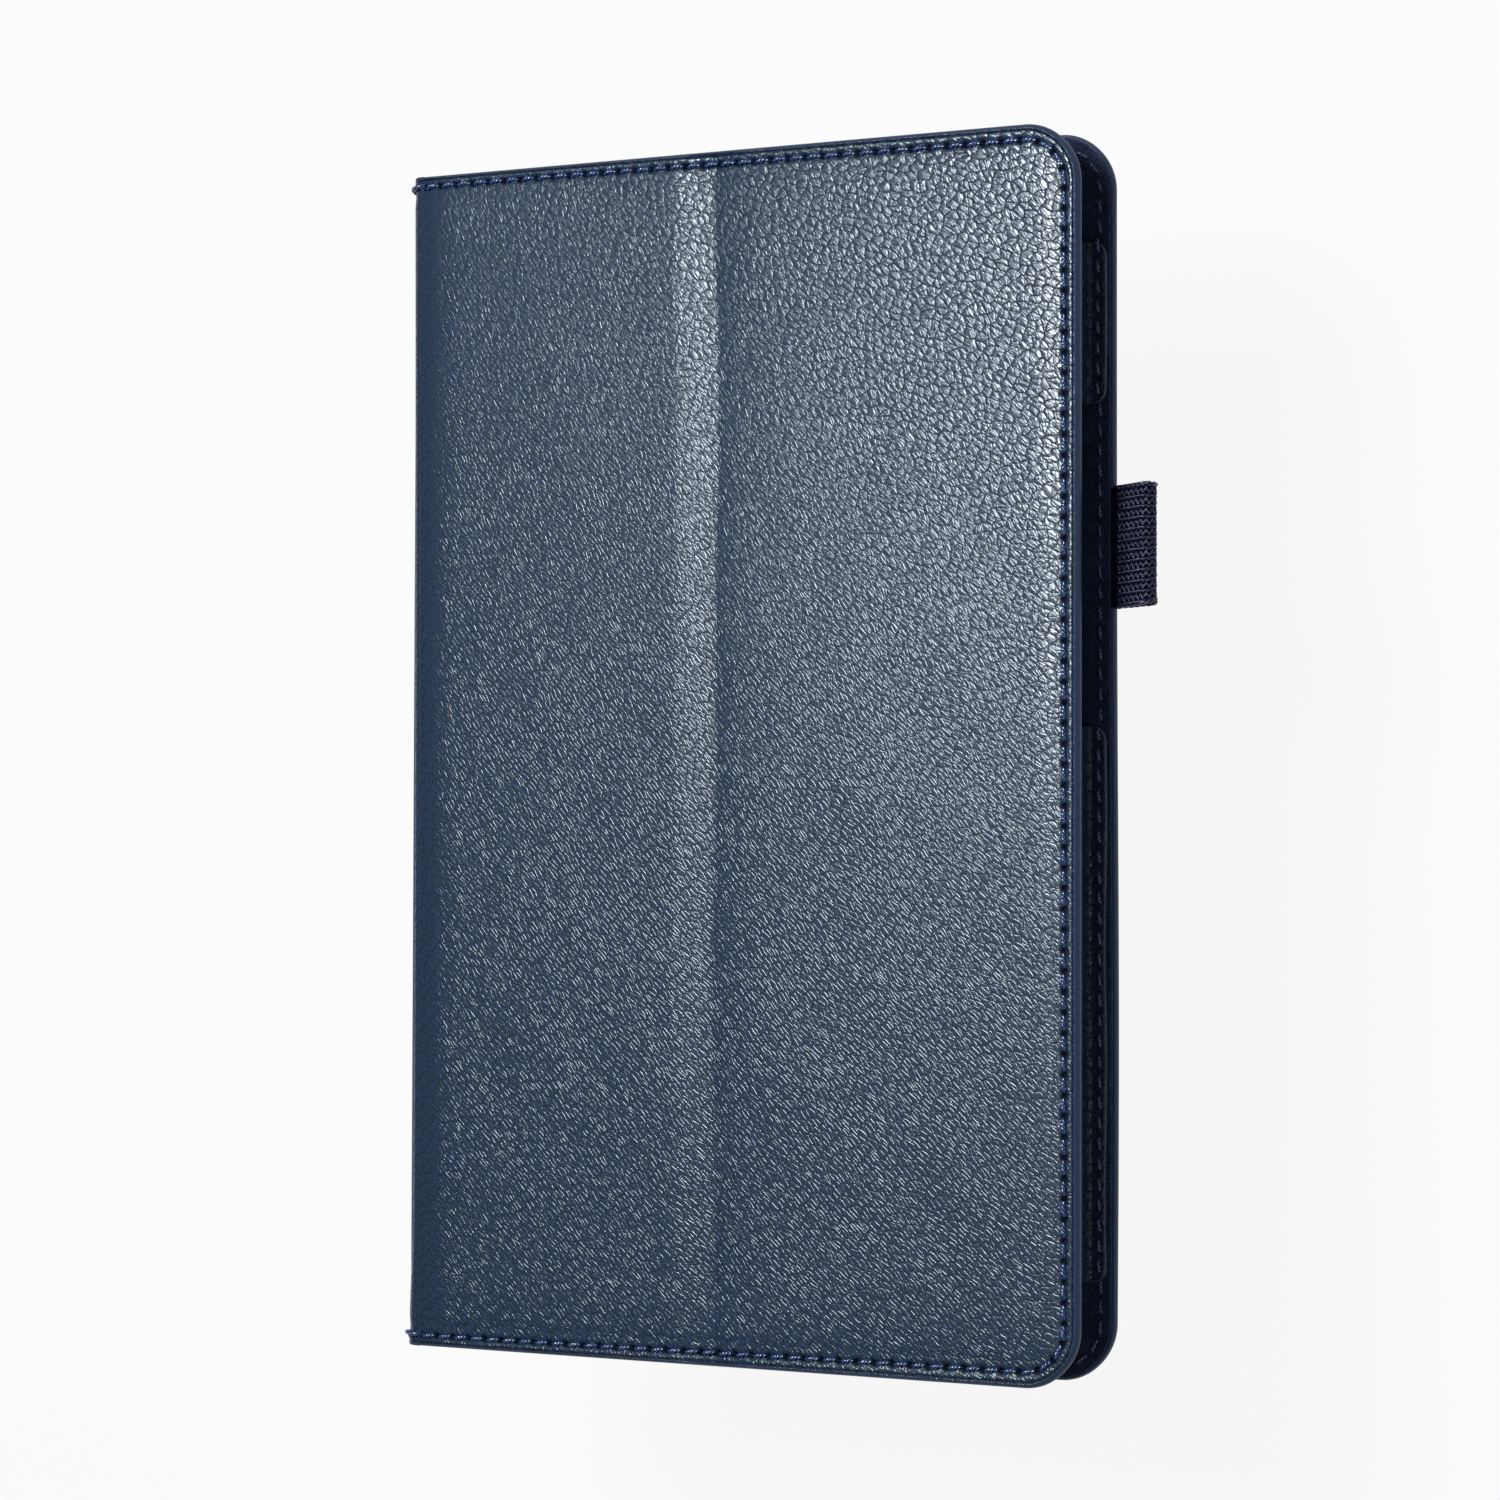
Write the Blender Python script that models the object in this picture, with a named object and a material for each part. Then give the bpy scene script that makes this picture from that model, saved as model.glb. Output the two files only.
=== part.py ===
"""Folio case for an eight-inch tablet: two stiff leather covers, a spine, a sewn pocket and a pen loop.

The case lies closed on its back. +X runs from the spine to the fore edge, +Y to the top and +Z to the
front cover. Sizes are in metres, and heights are measured from the back cover's outer face.
"""

from math import cos, pi, radians, sin, tan

import bmesh
import bpy
from mathutils import Vector
from mathutils.geometry import tessellate_polygon

# Covers
CASE_WIDTH = 0.140
CASE_HEIGHT = 0.219
CORNER_RADIUS = 0.0105
EDGE_ROUNDING = 0.0011
LEATHER = 0.0008
BOARD = 0.0012
LINING = 0.0006
RIM_WIDTH = 0.0048
LINING_SETBACK = 0.0002

# Spine and living hinges
SPINE_BOARD = 0.0008
HINGE_RADIUS = 0.0035
FOLD_FROM_SPINE = 0.067
FOLD_WIDTH = 0.009
FOLD_DIP = 0.0007
FOLD_LINING_RISE = 0.0005

# Tablet pocket
POCKET_DEPTH = 0.0083
BEZEL_LEATHER = 0.0007
BEZEL_CARD = 0.0005
BEZEL_LINING = 0.0004
BEZEL_RADIUS = 0.008
BEZEL_BORDER_SIDE = 0.0078
BEZEL_BORDER_END = 0.0135
WINDOW_RADIUS = 0.005
CARD_MARGIN = 0.001
WALL = 0.0008
FLANGE = 0.0007
FLANGE_WIDTH = 0.0034
FLANGE_SETBACK = 0.0005
FLANGE_CORNER = 0.0024
WALL_BEND = 0.0006
FORE_WALL_UPPER_FROM_TOP = (0.0480, 0.0197)
FORE_WALL_LOWER_FROM_BOTTOM = (0.0177, 0.1145)
END_WALL_LENGTH = 0.036
END_WALL_GAP = 0.030

# Tuck flap that shuts the pocket's mouth on the spine side
FLAP = 0.0010
FLAP_HEIGHT = 0.0062
FLAP_LENGTH = 0.150
FLAP_CORNER = 0.002
SPINE_CHANNEL = 0.0070

# Camera opening in the back cover
CAMERA_LENGTH = 0.026
CAMERA_WIDTH = 0.011
CAMERA_FROM_TOP = 0.021
CAMERA_FROM_FORE_EDGE = 0.029
CAMERA_TURN_IN = 0.0012

# Elastic pen loop
LOOP_WIDTH = 0.0215
LOOP_FROM_TOP = 0.0732
LOOP_REACH = 0.0080
LOOP_DEPTH = 0.0044
LOOP_RIBBON = 0.0011
LOOP_TAIL = 0.0006
LOOP_TAIL_LENGTH = 0.0042
LOOP_TILT = radians(4.5)

# Wake magnet in the front cover's board
MAGNET_RADIUS = 0.005
MAGNET_FROM_FORE_EDGE = 0.016
MAGNET_FROM_TOP = 0.0695

# Clearances
GLUE_LINE = 0.0001
CLEARANCE = 0.0003
STACK_GAP = 0.0003
CUTTER_OVERRUN = 0.002

CORNER_STEPS = 10
ROUNDING_STEPS = 4
HINGE_STEPS = 12

# Heights and places that follow from the sizes above
COVER = LEATHER + GLUE_LINE + BOARD + GLUE_LINE + LINING
RIM_HEIGHT = COVER - LINING - GLUE_LINE
SPINE = LEATHER + GLUE_LINE + SPINE_BOARD + GLUE_LINE + LINING
BEZEL = BEZEL_LEATHER + GLUE_LINE + BEZEL_CARD + GLUE_LINE + BEZEL_LINING
BEZEL_UNDERSIDE = COVER + POCKET_DEPTH
CASE_DEPTH = BEZEL_UNDERSIDE + BEZEL + STACK_GAP + COVER

HALF_WIDTH = CASE_WIDTH / 2
HALF_HEIGHT = CASE_HEIGHT / 2
SPINE_FACE = -HALF_WIDTH
FORE_EDGE = HALF_WIDTH
PANEL_START = SPINE_FACE + HINGE_RADIUS + CLEARANCE
FOLD_X = SPINE_FACE + FOLD_FROM_SPINE
FOLD_LEFT = FOLD_X - FOLD_WIDTH / 2
FOLD_RIGHT = FOLD_X + FOLD_WIDTH / 2

FORE_WALL_UPPER = tuple(HALF_HEIGHT - drop for drop in FORE_WALL_UPPER_FROM_TOP)
FORE_WALL_LOWER = tuple(rise - HALF_HEIGHT for rise in FORE_WALL_LOWER_FROM_BOTTOM)
LOOP_HEIGHT_ON_EDGE = HALF_HEIGHT - LOOP_FROM_TOP
MAGNET_HEIGHT_ON_COVER = HALF_HEIGHT - MAGNET_FROM_TOP

WALL_OUTER_INSET = FLANGE_SETBACK + FLANGE_WIDTH
BEZEL_RIGHT = FORE_EDGE - WALL_OUTER_INSET
BEZEL_TOP = HALF_HEIGHT - WALL_OUTER_INSET
FLAP_X = SPINE_FACE + SPINE + SPINE_CHANNEL + CLEARANCE
FLAP_Z = BEZEL_UNDERSIDE + BEZEL / 2
BEZEL_LEFT = FLAP_X + FLAP / 2 + CLEARANCE

HINGE_MIDDLE = HINGE_RADIUS - LEATHER
HINGE_INSET = HINGE_RADIUS - HINGE_MIDDLE * cos(pi / 4)
SPINE_BACK_AXIS = Vector((SPINE_FACE + HINGE_INSET, 0, HINGE_INSET))
SPINE_FRONT_AXIS = Vector((SPINE_FACE + HINGE_INSET, 0, CASE_DEPTH - HINGE_INSET))
FOLD_AXIS = Vector((FOLD_X, 0, CASE_DEPTH + CLEARANCE))
FLAP_AXIS = Vector((FLAP_X, 0, FLAP_Z))

NAVY_LEATHER = ((0.030, 0.043, 0.100), 0.48, 0.0)
NAVY_SUEDE = ((0.010, 0.014, 0.034), 0.95, 0.0)
GREY_BOARD = ((0.33, 0.31, 0.28), 0.9, 0.0)
NAVY_ELASTIC = ((0.008, 0.011, 0.034), 0.8, 0.0)
PLATED_STEEL = ((0.62, 0.62, 0.64), 0.3, 1.0)


def clear_scene():
    for old in list(bpy.data.objects):
        bpy.data.objects.remove(old, do_unlink=True)


def add_axis(name, place, parent=None):
    """An empty on a joint's axis, which carries the pieces that turn about it."""
    axis = bpy.data.objects.new(name, None)
    axis.empty_display_size = 0.01
    axis.location = place - (parent["place"] if parent else Vector())
    axis.parent = parent["empty"] if parent else None
    bpy.context.scene.collection.objects.link(axis)
    return {"empty": axis, "place": place}


def finish_material(name, finish):
    colour, roughness, metallic = finish
    material = bpy.data.materials.new(name)
    material.use_nodes = True
    shader = material.node_tree.nodes["Principled BSDF"]
    shader.inputs["Base Color"].default_value = (*colour, 1)
    shader.inputs["Roughness"].default_value = roughness
    shader.inputs["Metallic"].default_value = metallic
    material.diffuse_color = (*colour, 1)
    return material


def add_piece(name, mesh_builder, finish, carrier):
    """Turns a bmesh in world places into a named object whose origin lies on its carrier's axis."""
    bmesh.ops.recalc_face_normals(mesh_builder, faces=mesh_builder.faces)
    bmesh.ops.translate(mesh_builder, verts=mesh_builder.verts, vec=-carrier["place"])
    mesh = bpy.data.meshes.new(name)
    mesh_builder.to_mesh(mesh)
    mesh_builder.free()
    mesh.shade_smooth()
    mesh.set_sharp_from_angle(angle=radians(35))
    mesh.materials.append(finish_material(name, finish))
    piece = bpy.data.objects.new(name, mesh)
    piece.parent = carrier["empty"]
    bpy.context.scene.collection.objects.link(piece)
    return piece


def add_cutter(name, mesh_builder, carrier):
    cutter = add_piece(name, mesh_builder, GREY_BOARD, carrier)
    cutter.hide_render = True
    cutter.display_type = "WIRE"
    return cutter


def cut(piece, cutter):
    boolean = piece.modifiers.new(cutter.name, "BOOLEAN")
    boolean.operation = "DIFFERENCE"
    boolean.solver = "EXACT"
    boolean.object = cutter


def arc(centre, radius, start, end, steps):
    """Points on an arc, with both ends."""
    angles = [start + (end - start) * i / steps for i in range(steps + 1)]
    return [(centre[0] + radius * cos(a), centre[1] + radius * sin(a)) for a in angles]


def outline(left, right, bottom, top, left_radius=0.0, right_radius=0.0):
    """A rectangle's outline, counter-clockwise, with the corners on its left and right sides rounded."""
    points = []
    corners = (
        (left, bottom, left_radius, pi),
        (right, bottom, right_radius, 1.5 * pi),
        (right, top, right_radius, 0.0),
        (left, top, left_radius, 0.5 * pi),
    )
    for x, y, radius, start in corners:
        if radius:
            centre = (
                x + radius if x == left else x - radius,
                y + radius if y == bottom else y - radius,
            )
            points += arc(centre, radius, start, start + pi / 2, CORNER_STEPS)
        else:
            points.append((x, y))
    return points


def loft(rings, closed=False):
    """A skin over rings of equal point counts: capped at both ends, or closed on itself as a frame is."""
    builder = bmesh.new()
    loops = [[builder.verts.new(point) for point in ring] for ring in rings]
    pairs = list(zip(loops, loops[1:]))
    if closed:
        pairs.append((loops[-1], loops[0]))
    for lower, upper in pairs:
        for i in range(len(lower)):
            j = (i + 1) % len(lower)
            builder.faces.new((lower[i], lower[j], upper[j], upper[i]))
    if not closed:
        builder.faces.new(loops[0])
        builder.faces.new(loops[-1])
    return builder


def extrude_section(loops, start, end, place):
    """A section, its outline first and any holes after it, run from one station to another."""
    builder = bmesh.new()
    flat = [point for loop in loops for point in loop]
    near = [builder.verts.new(place(u, v, start)) for u, v in flat]
    far = [builder.verts.new(place(u, v, end)) for u, v in flat]
    first = 0
    for loop in loops:
        for i in range(len(loop)):
            a = first + i
            b = first + (i + 1) % len(loop)
            builder.faces.new((near[a], near[b], far[b], far[a]))
        first += len(loop)
    caps = [range(len(flat))]
    if len(loops) > 1:
        caps = tessellate_polygon([[Vector((u, v, 0)) for u, v in loop] for loop in loops])
    for cap in caps:
        builder.faces.new([near[i] for i in cap])
        builder.faces.new([far[i] for i in cap])
    return builder


def along_y(u, v, y):
    return (u, y, v)


def along_x(u, v, x):
    return (x, u, v)


def slab(points, low, high):
    return loft([[(x, y, low) for x, y in points], [(x, y, high) for x, y in points]])


def cover_tray(left, right, right_radius, facing):
    """Leather turned round a board: rounded on its free edges, plain on its hinge edges, with a recess for the board.

    facing gives the world height of a depth below the outer face.
    """
    rounds_right = right_radius > 0

    def ring(inset, depth):
        points = outline(
            left,
            right - (inset if rounds_right else 0),
            -HALF_HEIGHT + inset,
            HALF_HEIGHT - inset,
            0,
            max(right_radius - inset, 0),
        )
        return [(x, y, facing(depth)) for x, y in points]

    rings = []
    for i in range(ROUNDING_STEPS + 1):
        turn = 0.5 * pi * i / ROUNDING_STEPS
        rings.append(ring(EDGE_ROUNDING * (1 - sin(turn)), EDGE_ROUNDING * (1 - cos(turn))))
    rings.append(ring(0, RIM_HEIGHT))
    for depth in (RIM_HEIGHT, LEATHER):
        rings.append([(x, y, facing(depth)) for x, y in board_outline(left, right, right_radius, 0)])
    return loft(rings)


def board_outline(left, right, right_radius, inset):
    """The board's place between the turned edges, drawn in by a clearance on every side."""
    return outline(
        left + RIM_WIDTH / 2 + inset,
        right - (RIM_WIDTH if right_radius else RIM_WIDTH / 2) - inset,
        -HALF_HEIGHT + RIM_WIDTH + inset,
        HALF_HEIGHT - RIM_WIDTH - inset,
        0,
        max(right_radius - RIM_WIDTH - inset, 0),
    )


def cover_layers(prefix, left, right, right_radius, facing, carrier):
    """The leather, the board and the lining of one stiff panel."""
    skin = add_piece(f"{prefix}_skin", cover_tray(left, right, right_radius, facing), NAVY_LEATHER, carrier)
    board_low = LEATHER + GLUE_LINE
    board = add_piece(
        f"{prefix}_board",
        slab(board_outline(left, right, right_radius, CLEARANCE), facing(board_low), facing(board_low + BOARD)),
        GREY_BOARD,
        carrier,
    )
    lining_points = outline(
        left,
        right - (LINING_SETBACK if right_radius else 0),
        -HALF_HEIGHT + LINING_SETBACK,
        HALF_HEIGHT - LINING_SETBACK,
        0,
        max(right_radius - LINING_SETBACK, 0),
    )
    lining = add_piece(
        f"{prefix}_lining",
        slab(lining_points, facing(COVER - LINING), facing(COVER)),
        NAVY_SUEDE,
        carrier,
    )
    return skin, board, lining


def from_back(depth):
    return depth


def from_front(depth):
    return CASE_DEPTH - depth


def camera_slot(grow):
    """The camera opening as a prism through the back cover, grown on every side."""
    radius = CAMERA_WIDTH / 2 + grow
    x = FORE_EDGE - CAMERA_FROM_FORE_EDGE
    y = HALF_HEIGHT - CAMERA_FROM_TOP
    half = CAMERA_LENGTH / 2 + grow
    points = outline(x - half, x + half, y - radius, y + radius, radius * 0.96, radius * 0.96)
    return slab(points, -CUTTER_OVERRUN, COVER + CUTTER_OVERRUN)


def back_cover(carrier):
    skin, board, lining = cover_layers("back", PANEL_START, FORE_EDGE, CORNER_RADIUS, from_back, carrier)
    opening = add_cutter("camera_cutter", camera_slot(0), carrier)
    board_opening = add_cutter("camera_board_cutter", camera_slot(CAMERA_TURN_IN), carrier)
    for layer, cutter in ((skin, opening), (board, board_opening), (lining, opening)):
        cut(layer, cutter)
    notch_points = outline(
        FORE_EDGE - LOOP_TAIL_LENGTH - CLEARANCE,
        FORE_EDGE + CUTTER_OVERRUN,
        LOOP_HEIGHT_ON_EDGE - LOOP_WIDTH / 2 - CLEARANCE,
        LOOP_HEIGHT_ON_EDGE + LOOP_WIDTH / 2 + CLEARANCE,
    )
    notch_floor = RIM_HEIGHT - LOOP_TAIL - GLUE_LINE
    notch = add_cutter("loop_notch_cutter", slab(notch_points, notch_floor, RIM_HEIGHT + CUTTER_OVERRUN), carrier)
    cut(skin, notch)


def pen_loop(carrier):
    """A ribbon doubled back on itself: a flat tail under the lining and a round loop past the edge."""
    tail_top = RIM_HEIGHT
    tail_low = tail_top - LOOP_TAIL
    root = FORE_EDGE + CLEARANCE
    tip = FORE_EDGE + LOOP_REACH
    radius = LOOP_DEPTH / 2
    middle = max((tail_low + tail_top) / 2, radius + CLEARANCE)
    centre = (tip - radius, middle)
    inner = radius - LOOP_RIBBON
    outside = [(FORE_EDGE - LOOP_TAIL_LENGTH, tail_low), (root, tail_low)]
    outside += arc(centre, radius, -0.62 * pi, 0.62 * pi, 2 * HINGE_STEPS)
    outside += [(root, tail_top), (FORE_EDGE - LOOP_TAIL_LENGTH, tail_top)]
    throat = (root + LOOP_RIBBON * 1.6, (tail_low + tail_top) / 2)
    inside = arc(centre, inner, -0.68 * pi, 0.68 * pi, 2 * HINGE_STEPS) + [throat]

    def tilted(u, v, y):
        return (u, y + max(u - FORE_EDGE, 0) * tan(LOOP_TILT), v)

    low = LOOP_HEIGHT_ON_EDGE - LOOP_WIDTH / 2
    section = extrude_section([outside, inside], low, low + LOOP_WIDTH, tilted)
    add_piece("pen_loop", section, NAVY_ELASTIC, carrier)


def bezel_outline(inset):
    return outline(
        BEZEL_LEFT + inset,
        BEZEL_RIGHT - inset,
        -BEZEL_TOP + inset,
        BEZEL_TOP - inset,
        BEZEL_RADIUS - inset,
        BEZEL_RADIUS - inset,
    )


def window_outline(grow):
    return outline(
        BEZEL_LEFT + BEZEL_BORDER_SIDE - grow,
        BEZEL_RIGHT - BEZEL_BORDER_SIDE + grow,
        -BEZEL_TOP + BEZEL_BORDER_END - grow,
        BEZEL_TOP - BEZEL_BORDER_END + grow,
        WINDOW_RADIUS + grow,
        WINDOW_RADIUS + grow,
    )


def frame_slab(outer, inner, low, high):
    rings = []
    for points, height in ((outer, low), (outer, high), (inner, high), (inner, low)):
        rings.append([(x, y, height) for x, y in points])
    return loft(rings, closed=True)


def bezel(carrier):
    """The window frame over the tablet's face: leather over card, lined underneath."""
    height = BEZEL_UNDERSIDE
    layers = (
        ("bezel_lining", BEZEL_LINING, 0, NAVY_SUEDE),
        ("bezel_card", BEZEL_CARD, CARD_MARGIN, GREY_BOARD),
        ("pocket_bezel", BEZEL_LEATHER, 0, NAVY_LEATHER),
    )
    for name, thickness, margin, finish in layers:
        frame = frame_slab(bezel_outline(margin), window_outline(-margin), height, height + thickness)
        add_piece(name, frame, finish, carrier)
        height += thickness + GLUE_LINE


def wall_section(outer_face, outward):
    """The pocket's folded wall, seen end on: a flange sewn to the lining and an upright leaf."""
    low = COVER + GLUE_LINE
    flange_top = low + FLANGE
    top = BEZEL_UNDERSIDE - GLUE_LINE
    bend = arc((WALL_BEND, flange_top + WALL_BEND), WALL_BEND, 1.5 * pi, pi, ROUNDING_STEPS)
    section = [(-WALL, low), (FLANGE_WIDTH, low), (FLANGE_WIDTH, flange_top), *bend, (0, top), (-WALL, top)]
    return [(outer_face + outward * u, v) for u, v in section]


def round_flange(builder, edge_place, axis_index):
    """Rounds the two free corners of a wall's flange."""
    corners = []
    for edge in builder.edges:
        first, second = (vertex.co for vertex in edge.verts)
        upright = abs(first.x - second.x) < 1e-6 and abs(first.y - second.y) < 1e-6
        if upright and abs(first[axis_index] - edge_place) < 1e-6:
            corners.append(edge)
    bmesh.ops.bevel(
        builder, geom=corners, offset=FLANGE_CORNER, segments=CORNER_STEPS // 2, affect="EDGES", profile=0.5
    )


def pocket_walls(carrier):
    """Walls on the fore edge, top and bottom, with gaps for the tablet's keys, ports and corners."""
    for name, span in (("fore_wall_upper", FORE_WALL_UPPER), ("fore_wall_lower", FORE_WALL_LOWER)):
        wall = extrude_section([wall_section(BEZEL_RIGHT, 1)], *span, along_y)
        round_flange(wall, BEZEL_RIGHT + FLANGE_WIDTH, 0)
        add_piece(name, wall, NAVY_LEATHER, carrier)
    middle = (BEZEL_LEFT + BEZEL_RIGHT) / 2
    starts = (middle - END_WALL_GAP / 2 - END_WALL_LENGTH, middle + END_WALL_GAP / 2)
    for end, outward in (("top", 1), ("bottom", -1)):
        for side, start in zip(("left", "right"), starts):
            section = [wall_section(outward * BEZEL_TOP, outward)]
            wall = extrude_section(section, start, start + END_WALL_LENGTH, along_x)
            round_flange(wall, outward * (BEZEL_TOP + FLANGE_WIDTH), 1)
            add_piece(f"{end}_wall_{side}", wall, NAVY_LEATHER, carrier)


def tuck_flap(carrier):
    """A leather curtain that hangs from the bezel's spine edge and shuts the pocket's mouth."""
    half = FLAP / 2
    top = arc((FLAP_X, FLAP_Z), half, 0, pi, ROUNDING_STEPS * 2)
    low = FLAP_Z - FLAP_HEIGHT
    section = [(FLAP_X - half, low), (FLAP_X + half, low), *top]
    flap = extrude_section([section], -FLAP_LENGTH / 2, FLAP_LENGTH / 2, along_y)
    corners = [
        edge
        for edge in flap.edges
        if all(abs(v.co.z - low) < 1e-6 for v in edge.verts) and abs(edge.verts[0].co.y - edge.verts[1].co.y) < 1e-6
    ]
    bmesh.ops.bevel(flap, geom=corners, offset=FLAP_CORNER, segments=CORNER_STEPS // 2, affect="EDGES", profile=0.5)
    add_piece("tuck_flap", flap, NAVY_LEATHER, carrier)


def spine(carrier):
    """The spine's stiff panel: a leather tray, its board and its lining, standing between the two hinges."""
    low = HINGE_RADIUS + CLEARANCE / 2
    high = CASE_DEPTH - low
    rim = SPINE - LINING - GLUE_LINE
    end_rim = RIM_WIDTH
    side_rim = LEATHER

    def upright(depth, inset_side, inset_end):
        points = outline(low + inset_side, high - inset_side, -HALF_HEIGHT + inset_end, HALF_HEIGHT - inset_end)
        return [(SPINE_FACE + depth, y, z) for z, y in points]

    tray = [
        upright(0, 0, EDGE_ROUNDING),
        upright(EDGE_ROUNDING, 0, 0),
        upright(rim, 0, 0),
        upright(rim, side_rim, end_rim),
        upright(LEATHER, side_rim, end_rim),
    ]
    add_piece("spine_skin", loft(tray), NAVY_LEATHER, carrier)
    board_start = LEATHER + GLUE_LINE
    board = [
        upright(depth, side_rim + CLEARANCE, end_rim + CLEARANCE)
        for depth in (board_start, board_start + SPINE_BOARD)
    ]
    add_piece("spine_board", loft(board), GREY_BOARD, carrier)
    lining = [upright(depth, 0, LINING_SETBACK) for depth in (SPINE - LINING, SPINE)]
    add_piece("spine_lining", loft(lining), NAVY_SUEDE, carrier)


def hinge_web(outer_radius, thickness, facing):
    """A quarter-round strip that carries the spine into a cover."""
    centre = SPINE_FACE + HINGE_RADIUS
    outside = arc((centre, HINGE_RADIUS), outer_radius, pi, 1.5 * pi, HINGE_STEPS)
    inside = arc((centre, HINGE_RADIUS), outer_radius - thickness, 1.5 * pi, pi, HINGE_STEPS)
    return [(x, facing(z)) for x, z in outside + inside]


def hinge_webs(prefix, facing, carrier):
    layers = (
        ("web", HINGE_RADIUS, LEATHER, 0, NAVY_LEATHER),
        ("web_lining", HINGE_RADIUS - LEATHER - GLUE_LINE, LINING, LINING_SETBACK, NAVY_SUEDE),
    )
    for name, radius, thickness, setback, finish in layers:
        reach = HALF_HEIGHT - setback
        strip = extrude_section([hinge_web(radius, thickness, facing)], -reach, reach, along_y)
        add_piece(f"{prefix}_{name}", strip, finish, carrier)


def fold_strip(surface, thickness, bulge):
    """The section of a strip across the fold, whose middle is sunk or raised by bulge."""
    left = FOLD_LEFT + CLEARANCE / 2
    width = FOLD_WIDTH - CLEARANCE
    stations = [i / (2 * HINGE_STEPS) for i in range(2 * HINGE_STEPS + 1)]
    upper = [(left + width * s, surface + bulge * 0.5 * (1 - cos(2 * pi * s))) for s in stations]
    lower = [(x, z - thickness) for x, z in reversed(upper)]
    return upper + lower


def fold_webs(carrier):
    leather = fold_strip(CASE_DEPTH, LEATHER, -FOLD_DIP)
    add_piece("fold_web", extrude_section([leather], -HALF_HEIGHT, HALF_HEIGHT, along_y), NAVY_LEATHER, carrier)
    reach = HALF_HEIGHT - LINING_SETBACK
    lining = fold_strip(CASE_DEPTH - COVER + LINING, LINING, FOLD_LINING_RISE)
    add_piece("fold_web_lining", extrude_section([lining], -reach, reach, along_y), NAVY_SUEDE, carrier)


def front_cover(inner_carrier, outer_carrier):
    cover_layers("front_inner", PANEL_START, FOLD_LEFT - CLEARANCE / 2, 0, from_front, inner_carrier)
    layers = cover_layers(
        "front_outer", FOLD_RIGHT + CLEARANCE / 2, FORE_EDGE, CORNER_RADIUS, from_front, outer_carrier
    )
    place = (FORE_EDGE - MAGNET_FROM_FORE_EDGE, MAGNET_HEIGHT_ON_COVER)
    low = from_front(LEATHER + GLUE_LINE + BOARD)
    seat = arc(place, MAGNET_RADIUS + CLEARANCE, 0, 2 * pi * (1 - 1 / 32), 31)
    cutter = slab(seat, low - CUTTER_OVERRUN, low + BOARD + CUTTER_OVERRUN)
    cut(layers[1], add_cutter("magnet_seat_cutter", cutter, outer_carrier))
    disc = arc(place, MAGNET_RADIUS, 0, 2 * pi * (1 - 1 / 32), 31)
    add_piece("wake_magnet", slab(disc, low, low + BOARD), PLATED_STEEL, outer_carrier)


def main():
    clear_scene()
    back_body = add_axis("back_cover", Vector())
    flap_body = add_axis("tuck_flap_axis", FLAP_AXIS, back_body)
    spine_body = add_axis("spine_back_axis", SPINE_BACK_AXIS, back_body)
    inner_body = add_axis("spine_front_axis", SPINE_FRONT_AXIS, spine_body)
    outer_body = add_axis("cover_fold_axis", FOLD_AXIS, inner_body)
    back_cover(back_body)
    pen_loop(back_body)
    bezel(back_body)
    pocket_walls(back_body)
    tuck_flap(flap_body)
    spine(spine_body)
    hinge_webs("spine_back", from_back, spine_body)
    hinge_webs("spine_front", from_front, spine_body)
    front_cover(inner_body, outer_body)
    fold_webs(inner_body)


main()
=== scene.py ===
import math

import bmesh
import bpy
import numpy as np
from mathutils import Matrix, Vector
from mathutils.geometry import delaunay_2d_cdt


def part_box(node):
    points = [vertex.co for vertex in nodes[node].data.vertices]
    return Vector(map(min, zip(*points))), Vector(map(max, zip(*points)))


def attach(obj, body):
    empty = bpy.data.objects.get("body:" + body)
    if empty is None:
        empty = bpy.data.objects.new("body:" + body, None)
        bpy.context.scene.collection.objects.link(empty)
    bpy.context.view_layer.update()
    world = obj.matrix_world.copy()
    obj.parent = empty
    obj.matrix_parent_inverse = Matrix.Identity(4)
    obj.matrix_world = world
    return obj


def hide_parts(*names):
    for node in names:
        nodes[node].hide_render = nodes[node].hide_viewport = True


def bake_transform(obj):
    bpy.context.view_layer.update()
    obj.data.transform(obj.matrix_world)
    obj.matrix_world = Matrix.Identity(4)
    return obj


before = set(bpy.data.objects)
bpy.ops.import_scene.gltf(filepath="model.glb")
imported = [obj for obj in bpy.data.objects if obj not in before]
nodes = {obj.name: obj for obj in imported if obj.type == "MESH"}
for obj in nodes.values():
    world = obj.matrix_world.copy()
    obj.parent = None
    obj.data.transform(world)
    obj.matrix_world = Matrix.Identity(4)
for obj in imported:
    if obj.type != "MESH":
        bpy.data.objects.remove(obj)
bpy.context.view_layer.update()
mm = 0.001

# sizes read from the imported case
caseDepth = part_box("front_outer_skin")[1].z
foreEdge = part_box("front_outer_skin")[1].x
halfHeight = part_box("front_outer_skin")[1].y
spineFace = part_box("spine_skin")[0].x
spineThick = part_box("spine_lining")[1].x - spineFace
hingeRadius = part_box("spine_front_web")[1].x - spineFace
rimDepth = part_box("back_skin")[1].z
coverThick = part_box("back_lining")[1].z
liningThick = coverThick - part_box("back_lining")[0].z
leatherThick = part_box("back_board")[0].z
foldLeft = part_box("fold_web")[0].x
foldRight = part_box("fold_web")[1].x

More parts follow.
